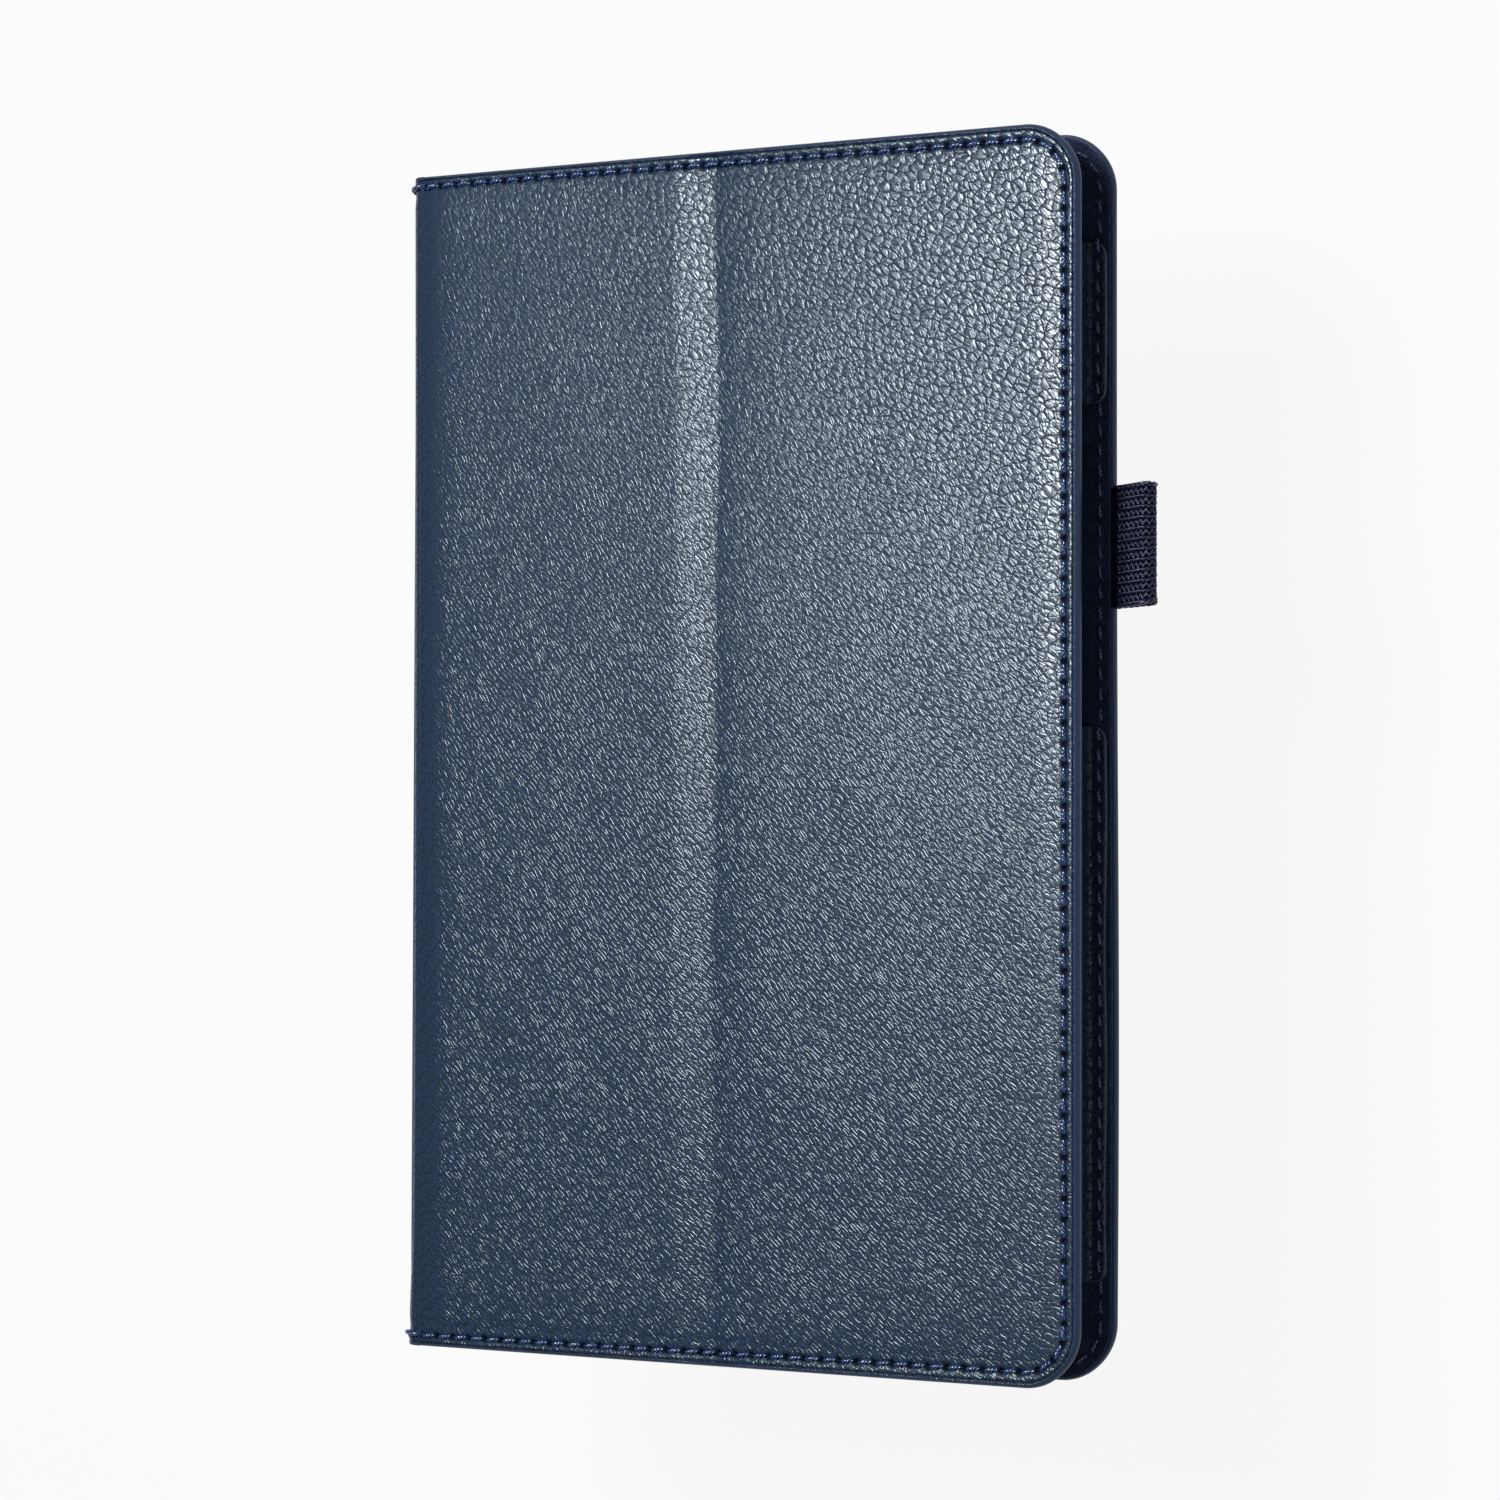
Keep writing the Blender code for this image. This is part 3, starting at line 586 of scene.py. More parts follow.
def pebbledLeather(name, look):
    material, tree, shader = newFinish(name)
    place = grainPlace(tree)
    split = put(tree, "ShaderNodeSeparateXYZ", {0: place}).outputs
    # wandering coordinates bend the rows of pebbles and keep them from looking like tiles
    wandering = place
    for scale, reach in look["drift"]:
        drift = vectorMaths(tree, "SUBTRACT", noise(tree, place, scale, output="Color"), (0.5, 0.5, 0.5))
        wandering = vectorMaths(tree, "ADD", wandering, vectorMaths(tree, "SCALE", drift, reach))
    rows = moved(tree, wandering, turn=look["pebbleTurn"])
    rows = moved(tree, rows, scale=(look["pebbleLong"], look["pebbleCross"], 1.0))
    edge = cells(tree, rows, look["pebble"], look["pebbleLoose"])
    groove = ramp(tree, edge, 0.0, look["creaseWidth"])
    # slanting flecks, some bolder than others, break up the top of each pebble
    dashes = moved(tree, wandering, turn=look["fleckTurn"])
    dashes = moved(tree, dashes, scale=(look["fleckLong"], look["fleckCross"], 1.0))
    fleckEdge = cells(tree, dashes, look["fleck"], look["fleckLoose"])
    scatter = ramp(tree, noise(tree, wandering, look["scatterScale"]), 0.38, 0.70, look["scatter"], 1.0)
    fleck = times(tree, ramp(tree, fleckEdge, 0.0, look["fleckWall"]), scatter)
    fine = noise(tree, dashes, 0.5 / look["wrinkle"], rough=0.6)
    # the pebbles are bold at the top of the fore edge and ease off towards the foot of the spine
    fromSpine = maths(tree, "ABSOLUTE", split["X"])
    bold = added(tree, fromSpine, look["boldAcross"], look["boldAtFoot"])
    bold = added(tree, split["Y"], look["boldUp"], bold)
    bold = added(tree, noise(tree, place, look["patchScale"]), look["boldPatch"], bold)
    bold = ramp(tree, bold, 0.15, 0.95, look["softest"], 1.0)
    # the grain's Z is -1 on the smooth turned edge, and above 0 where shade is painted into a stitch hole or
    # the edge crease
    turned = ramp(tree, split["Z"], -0.9, -0.1, 1.0, 0.0)
    hole = maths(tree, "MAXIMUM", split["Z"], 0.0)
    shown = ramp(tree, fromSpine, *look["spineEnds"], look["onSpine"], 1.0)
    shown = times(tree, shown, oneLess(tree, turned))
    pebble = times(tree, ramp(tree, edge, 0.0, look["pebbleWall"]), look["pebbleShare"])
    cut = times(tree, groove, ramp(tree, bold, 0.0, 1.0, look["leastCut"], look["creaseShare"]))
    height = added(tree, pebble, bold, cut)
    fleckDepth = times(tree, added(tree, bold, look["fleckEase"], 1.0), look["fleckShare"])
    height = added(tree, fleck, fleckDepth, height)
    height = added(tree, fine, look["wrinkleShare"], height)
    height = times(tree, height, shown)
    # painted shade: the creases, which come and go, get a darker colour and a duller reflection tint than the
    # tops
    broken = ramp(tree, noise(tree, place, look["breakScale"]), 0.34, 0.50, look["unbroken"], 1.0)
    sunk = times(tree, oneLess(tree, groove), times(tree, bold, broken))
    # painted shade: a dark line on the far side of each furrow, always offset the same way, as if lit from
    # one side
    lee = moved(tree, dashes, offset=(0, -look["leeShift"], 0))
    lee = cells(tree, lee, look["fleck"], look["fleckLoose"])
    lee = ramp(tree, lee, 0.0, look["gapWidth"], 1.0 - look["gap"], 0.0)
    gap = times(tree, lee, ramp(tree, bold, 0.2, 0.8, look["leeTone"], look["leeBold"]))
    crest = times(tree, oneLess(tree, sunk), oneLess(tree, gap))
    # the painted shade of the stitch holes and the edge crease darkens the tone here
    lit = times(tree, crest, oneLess(tree, hole))
    lit = put(tree, "ShaderNodeMix", {0: turned, 2: lit, 3: look["sideShine"]}, data_type="FLOAT").outputs[0]
    tone = mixColour(tree, lit, look["crease"], look["top"])
    fill(tree, shader, {"Base Color": mixColour(tree, turned, tone, look["side"]),
                        "Roughness": ramp(tree, lit, 0.1, 1.0, look["roughCrease"], look["roughTop"]),
                        "Specular Tint": mixColour(tree, lit, (look["dull"],) * 3, look["tint"]),
                        "Specular IOR Level": look["gloss"],
                        "Normal": bumped(tree, height, look["relief"])})
    return material


suedeLook = {"dark": (0.003, 0.0045, 0.012), "light": (0.034, 0.054, 0.124), "nap": 0.30, "relief": 0.16 * mm,
             "strokeTurn": 0.4, "strokeScale": (0.16, 0.5, 1), "strokeShare": 0.16, "napShare": 0.84,
             "sheen": 0.25, "sheenTint": (0.35, 0.50, 1.0, 1)}


def brushedSuede(name, look):
    material, tree, shader = newFinish(name)
    place = grainPlace(tree)
    nap = noise(tree, place, 1 / look["nap"], 3.0, 0.7)
    strokes = noise(tree, moved(tree, place, turn=look["strokeTurn"], scale=look["strokeScale"]), 1.0)
    tuft = added(tree, strokes, look["strokeShare"], times(tree, nap, look["napShare"]))
    tone = mixColour(tree, ramp(tree, tuft, 0.47, 0.68), look["dark"], look["light"])
    fill(tree, shader, {"Base Color": tone, "Normal": bumped(tree, nap, look["relief"]), "Roughness": 0.95,
                        "Specular IOR Level": 0.2, "Sheen Weight": look["sheen"], "Sheen Roughness": 0.5,
                        "Sheen Tint": look["sheenTint"]})
    return material


threadLook = {"shade": (0.003, 0.008, 0.030), "light": (0.016, 0.045, 0.155), "rough": 0.16, "shine": 1.0,
              "tint": (1.0, 1.0, 1.0, 1), "strands": 5.2}
elasticLook = {"shade": (0.001, 0.0012, 0.005), "light": (0.009, 0.011, 0.042), "rough": 0.26, "shine": 0.6,
               "tint": (0.75, 0.8, 1.0, 1), "strands": 4.2}
# the core under the knit is near black: painted shade for the gaps between the yarns and at the loop's root
bandShadeLook = {"shade": (0.0006, 0.0007, 0.002), "light": (0.0016, 0.0018, 0.006), "rough": 0.9, "shine": 0.05,
            "tint": (0.5, 0.55, 1.0, 1), "strands": 3.0}


def spunYarn(name, look):
    material, tree, shader = newFinish(name)
    strands = noise(tree, grainPlace(tree), look["strands"], 3.0, 0.65, "3D")
    tone = mixColour(tree, ramp(tree, strands, 0.3, 0.68), look["shade"], look["light"])
    fill(tree, shader, {"Base Color": tone, "Normal": bumped(tree, strands, 0.05 * mm, 0.6),
                        "Roughness": look["rough"], "Specular IOR Level": look["shine"],
                        "Specular Tint": look["tint"]})
    return material


cutEdgeLook = {"dark": (0.020, 0.030, 0.055), "light": (0.060, 0.080, 0.125), "specks": 2600, "rough": 0.85}
boardLook = {"dark": (0.20, 0.185, 0.16), "light": (0.40, 0.38, 0.345), "specks": 1800, "rough": 0.85}
discLook = {"dark": (0.50, 0.50, 0.52), "light": (0.68, 0.68, 0.70), "brush": (60, 4000, 60),
            "rough": (0.22, 0.42)}


def fibreStock(name, look):
    material, tree, shader = newFinish(name)
    specks = noise(tree, put(tree, "ShaderNodeTexCoord").outputs["Object"], look["specks"], 4.0, 0.7, "3D")
    tone = mixColour(tree, ramp(tree, specks, 0.35, 0.65), look["dark"], look["light"])
    fill(tree, shader, {"Base Color": tone, "Normal": bumped(tree, specks, 0.06 * mm, 0.5),
                        "Roughness": look["rough"]})
    return material


def platedDisc(name, look):
    material, tree, shader = newFinish(name)
    place = put(tree, "ShaderNodeTexCoord").outputs["Object"]
    brushed = noise(tree, moved(tree, place, scale=look["brush"]), 1.0, 3.0, 0.6, "3D")
    fill(tree, shader, {"Base Color": mixColour(tree, brushed, look["dark"], look["light"]),
                        "Roughness": ramp(tree, brushed, 0.3, 0.7, *look["rough"]), "Metallic": 1.0})
    return material


leather = pebbledLeather("pebbledLeather", leatherLook)
wallLitLeather = pebbledLeather("wallLitLeather", wallLitLook)
suede = brushedSuede("brushedSuede", suedeLook)
thread = spunYarn("seamThread", threadLook)
elastic = spunYarn("loopYarn", elasticLook)
bandShadeCore = spunYarn("loopCoreShade", bandShadeLook)
cutEdge = fibreStock("cutEdge", cutEdgeLook)
board = fibreStock("greyBoard", boardLook)
plated = platedDisc("platedDisc", discLook)
print("finishes made")


# leather and lining, in stretches: each cover, and the spine's two halves

# inset from the outline, and depth, from the hidden face round to the shown one
leatherProfile = [(x * mm, y * mm) for x, y in ((0.30, 2.10), (0.07, 1.78), (0.0, 1.30), (0.03, 0.88),
                                                (0.16, 0.50), (0.34, 0.23), (0.54, 0.08))]
liningProfile = [(x * mm, y * mm) for x, y in ((0.62, 2.16), (0.50, 2.40), (0.55, 2.66))]
# at the spine's ends the depth is a share of the way to the hidden face
leatherEndProfile = [(x * mm, share) for x, share in ((0.30, 1.0), (0.07, 0.85), (0.0, 0.6), (0.03, 0.42),
                                                      (0.16, 0.24), (0.34, 0.11), (0.54, 0.04))]
liningEndProfile = [(x * mm, share) for x, share in ((0.62, 1.0), (0.50, 0.62), (0.55, 0.22))]

cameraBox = {"fromTop": 21 * mm, "fromForeEdge": 29 * mm, "halfLength": 13 * mm, "radius": 5.5 * mm}
cameraSlot = {"run": alongSheet(foreEdge - cameraBox["fromForeEdge"]), "y": halfHeight - cameraBox["fromTop"],
              "halfLength": cameraBox["halfLength"], "radius": cameraBox["radius"]}

leatherStart = alongSheet(spineFace + cover["creaseFromSpine"])
liningStart = alongSheet(spineFace + cover["liningFromSpine"])


def skinHidden(runs):
    onSpine = spineThick - liningThick - 0.1 * mm
    return np.where(runs < flatRun - 0.6 * mm, onSpine, leatherThick - 0.1 * mm)


def bendFold(piece):
    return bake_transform(piece)


def bendHinge(piece, side):
    if side > 0:
        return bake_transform(piece)
    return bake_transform(piece)


frontLeather = coverSheet("frontLeather", 1, leatherStart, leatherProfile, leatherDepth, leather)
bendFold(frontLeather)
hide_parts("front_inner_skin", "front_outer_skin", "fold_web")
backLeather = coverSheet("backLeather", -1, leatherStart, leatherProfile, leatherDepth, leather, cameraSlot)
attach(backLeather, "back_cover")
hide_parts("back_skin")
print("cover leather made")

spineFrontLeather = spineSheet("spineFrontLeather", 1, leatherStart, leatherEndProfile, leatherDepth,
                               skinHidden, leather)
bendHinge(spineFrontLeather, 1)
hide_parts("spine_skin", "spine_front_web")
spineBackLeather = spineSheet("spineBackLeather", -1, leatherStart, leatherEndProfile, leatherDepth,
                              skinHidden, leather)
bendHinge(spineBackLeather, -1)
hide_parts("spine_back_web")
print("spine leather made")


def liningHidden(runs):
    return liningDepth(-1, runs, 0) - liningThick + 0.05 * mm


def bendLiningHinge(piece, side):
    low = (spineFace + spineThick, 0, hingeRadius)
    high = (spineFace + hingeRadius, 0, webShape["thick"])
    if side > 0:
        low, high = ((x, y, caseDepth - z) for x, y, z in (low, high))
        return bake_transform(piece)
    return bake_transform(piece)


frontLining = coverSheet("frontLining", 1, liningStart, liningProfile, liningDepth, suede)
bendFold(frontLining)
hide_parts("front_inner_lining", "front_outer_lining", "fold_web_lining")
backLining = coverSheet("backLining", -1, liningStart, liningProfile, liningDepth, suede, cameraSlot)
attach(backLining, "back_cover")
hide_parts("back_lining")
spineFrontLining = spineSheet("spineFrontLining", 1, liningStart, liningEndProfile, liningDepth,
                              liningHidden, suede)
bendLiningHinge(spineFrontLining, 1)
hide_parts("spine_lining", "spine_front_web_lining")
spineBackLining = spineSheet("spineBackLining", -1, liningStart, liningEndProfile, liningDepth,
                             liningHidden, suede)
bendLiningHinge(spineBackLining, -1)
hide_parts("spine_back_web_lining")
print("linings made")


# a stitch of two twisted strands, set on points that carry its way and its upward side

def twistedStitchTree():
    tree = bpy.data.node_groups.new("twistedStitch", "GeometryNodeTree")
    sockets = [("Points", "Geometry"), ("Length", "Float"), ("Width", "Float"), ("Turns", "Float"),
               ("Sag", "Float"), ("Unevenness", "Float"), ("Seed", "Int"), ("Finish", "Material")]
    for label, kind in sockets:
        tree.interface.new_socket(label, in_out="INPUT", socket_type="NodeSocket" + kind)
    tree.interface.new_socket("Stitches", in_out="OUTPUT", socket_type="NodeSocketGeometry")
    given = put(tree, "NodeGroupInput").outputs
    length, width = given["Length"], given["Width"]
    coil = times(tree, width, 0.23)
    spiral = put(tree, "GeometryNodeCurveSpiral", {"Resolution": 6, "Rotations": given["Turns"],
                                                   "Start Radius": coil, "End Radius": coil,
                                                   "Height": length})
    lift = put(tree, "ShaderNodeCombineXYZ", {"Z": times(tree, length, -0.5)})
    strand = put(tree, "GeometryNodeTransform", {"Geometry": spiral.outputs[0],
                                                 "Translation": lift.outputs[0]})
    other = put(tree, "GeometryNodeTransform", {"Geometry": strand.outputs[0], "Rotation": (0, 0, math.pi)})
    both = put(tree, "GeometryNodeJoinGeometry")
    for half in (strand, other):
        tree.links.new(half.outputs[0], both.inputs[0])
    radius = times(tree, width, 0.29)
    ring = put(tree, "GeometryNodeCurvePrimitiveCircle", {"Resolution": 5, "Radius": radius})
    tube = put(tree, "GeometryNodeCurveToMesh", {"Curve": both.outputs[0], "Profile Curve": ring.outputs[0],
                                                 "Fill Caps": True})
    # both ends dip into their holes
    place = put(tree, "GeometryNodeInputPosition").outputs[0]
    height = put(tree, "ShaderNodeSeparateXYZ", {0: place}).outputs["Z"]
    share = maths(tree, "DIVIDE", height, times(tree, length, 0.5))
    dip = times(tree, maths(tree, "POWER", maths(tree, "ABSOLUTE", share), 2.5), given["Sag"])
    drop = put(tree, "ShaderNodeCombineXYZ", {"X": times(tree, dip, -1.0)})
    bent = put(tree, "GeometryNodeSetPosition", {"Geometry": tube.outputs[0], "Offset": drop.outputs[0]})
    ways = [put(tree, "GeometryNodeInputNamedAttribute", {"Name": label}, data_type="FLOAT_VECTOR")
            for label in ("along", "up")]
    turn = put(tree, "FunctionNodeAxesToRotation", {0: ways[0].outputs[0], 1: ways[1].outputs[0]},
               primary_axis="Z", secondary_axis="X")
    least = oneLess(tree, given["Unevenness"])
    most = maths(tree, "ADD", 1.0, given["Unevenness"])
    size = put(tree, "FunctionNodeRandomValue", {2: least, 3: most, "Seed": given["Seed"]}, data_type="FLOAT")
    setting = {"Points": given["Points"], "Instance": bent.outputs[0], "Rotation": turn.outputs[0],
               "Scale": size.outputs[1]}
    placed = put(tree, "GeometryNodeInstanceOnPoints", setting)
    real = put(tree, "GeometryNodeRealizeInstances", {0: placed.outputs[0]})
    inMillimetres = vectorMaths(tree, "SCALE", put(tree, "GeometryNodeInputPosition").outputs[0], 1 / mm)
    rest = put(tree, "GeometryNodeStoreNamedAttribute", {"Geometry": real.outputs[0], "Name": "grain",
                                                         "Value": inMillimetres}, data_type="FLOAT_VECTOR")
    dressed = put(tree, "GeometryNodeSetMaterial", {"Geometry": rest.outputs[0], "Material": given["Finish"]})
    put(tree, "NodeGroupOutput", {0: dressed.outputs[0]})
    return tree


stitchTree = twistedStitchTree()


def sewn(name, stitches, shape, finish, seed):
    points, along, up = (np.array(values, np.float32) for values in zip(*stitches))
    mesh = bpy.data.meshes.new(name + "Points")
    mesh.from_pydata(points.tolist(), [], [])
    for label, values in (("along", along), ("up", up)):
        mesh.attributes.new(label, "FLOAT_VECTOR", "POINT").data.foreach_set("vector", values.ravel())
    made = bpy.data.objects.new(name, mesh)
    bpy.context.scene.collection.objects.link(made)
    modifier = made.modifiers.new("stitches", "NODES")
    modifier.node_group = stitchTree
    values = {key.capitalize(): shape[key] for key in ("length", "width", "turns", "sag", "unevenness")}
    values |= {"Seed": seed, "Finish": finish}
    for item in stitchTree.interface.items_tree:
        if item.in_out == "INPUT" and item.name in values:
            modifier[item.identifier] = values[item.name]
    plain = bpy.data.meshes.new_from_object(made.evaluated_get(bpy.context.evaluated_depsgraph_get()))
    made.modifiers.remove(modifier)
    made.data = plain
    plain.shade_smooth()
    return made


stitchShape = {"length": 2.65 * mm, "width": 0.92 * mm, "turns": 1.4, "sag": 0.60 * mm, "unevenness": 0.05,
               "slant": math.radians(11), "lift": 0.10 * mm, "sunk": 0.3}
wallNames = ("fore_wall_upper", "fore_wall_lower", "top_wall_left", "top_wall_right", "bottom_wall_left",
             "bottom_wall_right")
flangeTop = coverThick + 0.8 * mm


def onFlange(place):
    for wall in wallNames:
        low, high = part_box(wall)
        if low.x < place[0] < high.x and low.y < place[1] < high.y:
            return True
    return False


def seamStitches(side, seam, inner):
    pitch = seamPitch(seam)
    spinePart, coverPart = [], []
    for k in range(round(seamLength(seam["inset"]) / pitch)):
        station = (k + 0.5) * pitch
        ends = [seamPlace(station + part * 0.4 * pitch, seam["inset"]) for part in (-1, 0, 1)]
        run, y = ends[1]
        depth = leatherDepth(side, run, y) * stitchShape["sunk"]
        if inner:
            depth = liningDepth(side, run, y)
            if side < 0 and onFlange(wrap(side, run, y, 0)):
                depth = flangeTop
        low, middle, high = (wrap(side, *place, depth) for place in ends)
        outward = wrap(side, run, y, depth - 0.5 * mm) - wrap(side, run, y, depth + 0.5 * mm)
        outward = outward / np.linalg.norm(outward) * (-1 if inner else 1)
        along = (high - low) / np.linalg.norm(high - low)
        across = np.cross(outward, along)
        along = along * math.cos(stitchShape["slant"]) + across * math.sin(stitchShape["slant"])
        part = spinePart if run < leatherStart else coverPart
        part.append((middle + outward * stitchShape["lift"], along, outward))
    return spinePart, coverPart


def sewSeam(name, stitches, seed):
    return sewn(name, stitches, stitchShape, thread, seed)


frontSpine, frontCover = seamStitches(1, frontSeam, False)
innerSpine, innerCover = seamStitches(1, liningSeam, True)
backSpine, backCover = seamStitches(-1, backSeam, False)
innerBackSpine, innerBackCover = seamStitches(-1, backLiningSeam, True)
bendFold(sewSeam("frontStitches", frontCover, 3))
bendFold(sewSeam("frontLiningStitches", innerCover, 4))
bendHinge(sewSeam("spineFrontStitches", frontSpine, 5), 1)
bendLiningHinge(sewSeam("spineFrontLiningStitches", innerSpine, 6), 1)
bendHinge(sewSeam("spineBackStitches", backSpine, 7), -1)
bendLiningHinge(sewSeam("spineBackLiningStitches", innerBackSpine, 8), -1)
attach(sewSeam("backStitches", backCover, 9), "back_cover")
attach(sewSeam("backLiningStitches", innerBackCover, 10), "back_cover")
print("seams sewn")


# pocket walls: a flange sewn to the back cover and an upright leaf

wallShape = {"thick": 0.8 * mm, "flange": 0.7 * mm, "corner": 2.4 * mm, "topCorner": 0.9 * mm,
             "bend": 1.0 * mm, "edge": 0.14 * mm, "ripple": 0.12 * mm, "rippleLong": 7 * mm,
             "narrowest": 0.6 * mm, "bulge": 0.10 * mm, "step": 2 * mm}


def cornerCut(fromEnd, radius):
    short = np.maximum(radius - fromEnd, 0)
    return radius - np.sqrt(np.maximum(radius ** 2 - short ** 2, 0))


def wallStations(start, end, corner):
    near = np.array([0, 0.02, 0.08, 0.18, 0.32, 0.5, 0.72, 1.0]) * corner
    middle = np.linspace(start + corner, end - corner, int((end - start) / wallShape["step"]))[1:-1]
    return np.concatenate([start + near, middle, end - near[::-1]])


def pocketWall(node):
    low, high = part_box(node)
    bezelLow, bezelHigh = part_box("pocket_bezel")
    onSide = node.startswith("fore")
    outward = -1 if node.startswith("bottom") else 1
    face = bezelHigh.x if onSide else (bezelHigh.y if outward > 0 else bezelLow.y)
    width = high.x - face if onSide else abs((high.y if outward > 0 else low.y) - face)
    start, end = (low.y, high.y) if onSide else (low.x, high.x)
    thick, edge, bend = (wallShape[key] for key in ("thick", "edge", "bend"))
    bottom, flangeHigh = low.z, low.z + wallShape["flange"]
    turns = np.linspace(1.5 * math.pi, math.pi, 6)
    points, grain, loops = [], [], []
    for station in wallStations(start, end, wallShape["corner"]):
        fromEnd = min(station - start, end - station)
        ripple = wallShape["ripple"] * (1 + math.sin(station / wallShape["rippleLong"]))
        out = max(width - cornerCut(fromEnd, wallShape["corner"]) - ripple, wallShape["narrowest"])
        top = high.z - cornerCut(fromEnd, wallShape["topCorner"])
        # the flange's underside, its cut edge and its top
        section = [(-thick, bottom), (out - edge, bottom), (out, bottom + edge), (out, flangeHigh - edge),
                   (out - edge, flangeHigh)]
        if out - edge > bend:
            section += [((out - edge) * s + bend * (1 - s), flangeHigh) for s in (0.66, 0.33)]
        section += [(out - edge, flangeHigh)] * (7 - len(section))
        # the bend up into the leaf, the leaf's face and its top edge
        reach = min(bend, out - edge)
        section += [(reach + reach * math.cos(a), flangeHigh + bend + bend * math.sin(a)) for a in turns]
        foot = flangeHigh + bend
        for s in (0.25, 0.5, 0.75):
            section.append((wallShape["bulge"] * math.sin(math.pi * s), foot + (top - foot) * s))
        section += [(0, top - edge), (-edge, top), (-thick + edge, top), (-thick, top - edge)]
        loops.append(list(range(len(points), len(points) + len(section))))
        for (u, v), way in zip(section, distances(section)):
            across = face + outward * u
            points.append((across, station, v) if onSide else (station, across, v))
            grain.append((station / mm, way / mm + 3 * face / mm, 0))
    count = len(loops[0])
    faces = loft(loops) + [tuple(loops[0]), tuple(loops[-1])]
    slots = [1 if index % count in (1, 2, 3) else 0 for index in range(len(faces) - 2)] + [0, 0]
    made = makeObject(node.replace("_", "") + "Leaf", points, faces, [wallLitLeather, cutEdge], grain, slots)
    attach(made, "back_cover")
    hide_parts(node)


for wall in wallNames:
    pocketWall(wall)
print("pocket walls made")


# the window frame over the tablet's face, and its lining

bezelShape = {"radius": 8.0 * mm, "windowRadius": 5.0 * mm, "borderSide": 7.8 * mm, "borderEnd": 13.5 * mm,
              "skirt": 0.85 * mm, "seamInset": 2.4 * mm, "underCard": 0.05 * mm, "arcSteps": 10,
              "sideStep": 3 * mm, "turnIn": 1.2 * mm}   # how far the leather wraps round the card's edge


def roundedFrame(left, right, bottom, top, radius):
    points = []
    left, right, bottom, top = left + radius, right - radius, bottom + radius, top - radius
    centres = [(right, top), (left, top), (left, bottom), (right, bottom)]
    low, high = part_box("pocket_bezel")
    for quarter, (x, y) in enumerate(centres):
        turn, nextTurn = quarter * math.pi / 2, (quarter + 1) * math.pi / 2
        for a in np.linspace(turn, nextTurn, bezelShape["arcSteps"]):
            points.append((x + radius * math.cos(a), y + radius * math.sin(a)))
        first = np.array(points[-1])
        nextTurn = nextTurn % (2 * math.pi)
        nextCentre = np.array(centres[(quarter + 1) % 4])
        way = nextCentre + radius * np.array([math.cos(nextTurn), math.sin(nextTurn)]) - first
        length = high.y - low.y if quarter % 2 else high.x - low.x
        count = int(length / bezelShape["sideStep"])
        points += [tuple(first + way * k / count) for k in range(1, count)]
    return np.array(points)


def frameRing(inset, fromWindow):
    low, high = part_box("pocket_bezel")
    if fromWindow:
        side, end = bezelShape["borderSide"] - inset, bezelShape["borderEnd"] - inset
        radius = bezelShape["windowRadius"] + inset
    else:
        side = end = inset
        radius = bezelShape["radius"] - inset
    return roundedFrame(low.x + side, high.x - side, low.y + end, high.y - end, radius)


def framePiece(name, profile, finish):
    points, grain, loops = [], [], []
    for inset, z, fromWindow in profile:
        ring = frameRing(inset, fromWindow)
        loops.append(list(range(len(points), len(points) + len(ring))))
        points += [(x, y, z) for x, y in ring]
        grain += [(x / mm, y / mm + z / mm, 0) for x, y in ring]
    return makeObject(name, points, loft(loops, closed=True), finish, grain)


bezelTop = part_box("pocket_bezel")[1].z
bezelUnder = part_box("pocket_bezel")[0].z
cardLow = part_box("bezel_card")[0].z - bezelShape["underCard"]
edgeCurve = [(0.0, -0.62), (0.05, -0.34), (0.22, -0.12), (0.52, -0.01), (0.9, 0.0), (1.9, -0.02),
             (2.2, -0.10), (2.4, -0.16), (2.6, -0.10), (2.9, -0.02)]
outerSide = [(x * mm, bezelTop + z * mm, False) for x, z in edgeCurve]
turnIn = bezelShape["turnIn"]
windowSide = [(x * mm - turnIn, bezelTop + z * mm, True) for x, z in reversed(edgeCurve[:5] + [(2.4, 0.0)])]
skirt = bezelShape["skirt"]
hiddenSide = [(-turnIn, cardLow, True), (skirt, cardLow, True), (skirt, bezelUnder, True),
              (skirt, bezelUnder, False), (skirt, cardLow, False), (0, cardLow, False)]
windowFrame = framePiece("windowFrame", outerSide + windowSide + hiddenSide, leather)
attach(windowFrame, "back_cover")
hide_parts("pocket_bezel")
liningLow, liningHigh = (corner.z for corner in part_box("bezel_lining"))
liningSide = [(0.3 * mm, liningLow), (0.1 * mm, (liningLow + liningHigh) / 2), (0.3 * mm, liningHigh)]
liningRound = [(x, z, False) for x, z in liningSide] + [(x, z, True) for x, z in reversed(liningSide)]
frameLining = framePiece("windowFrameLining", liningRound, suede)
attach(frameLining, "back_cover")
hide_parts("bezel_lining")


def frameStitches():
    ring = frameRing(bezelShape["seamInset"], False)
    closed = np.concatenate([ring, ring[:1]])
    way = distances(closed)
    count = round(way[-1] / frontSeam["pitch"])
    stitches = []
    for k in range(count):
        ends = []
        for part in (-0.3, 0, 0.3):
            station = ((k + 0.5 + part) * way[-1] / count) % way[-1]
            ends.append(np.array([*(np.interp(station, way, closed[:, axis]) for axis in (0, 1)), bezelTop]))
        step = ends[2] - ends[0]
        stitches.append((ends[1], step / np.linalg.norm(step), (0, 0, 1)))
    made = sewn("windowFrameStitches", stitches, stitchShape, thread, 12)
    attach(made, "back_cover")


frameStitches()
print("window frame made")


# the flap that shuts the pocket's mouth

flapShape = {"corner": 2.0 * mm, "steps": 14, "cutEdge": 0.62, "seamEnds": 3 * mm, "seamHeight": 1.7 * mm}
flapStitch = dict(stitchShape, width=0.55 * mm, sag=0.34 * mm)


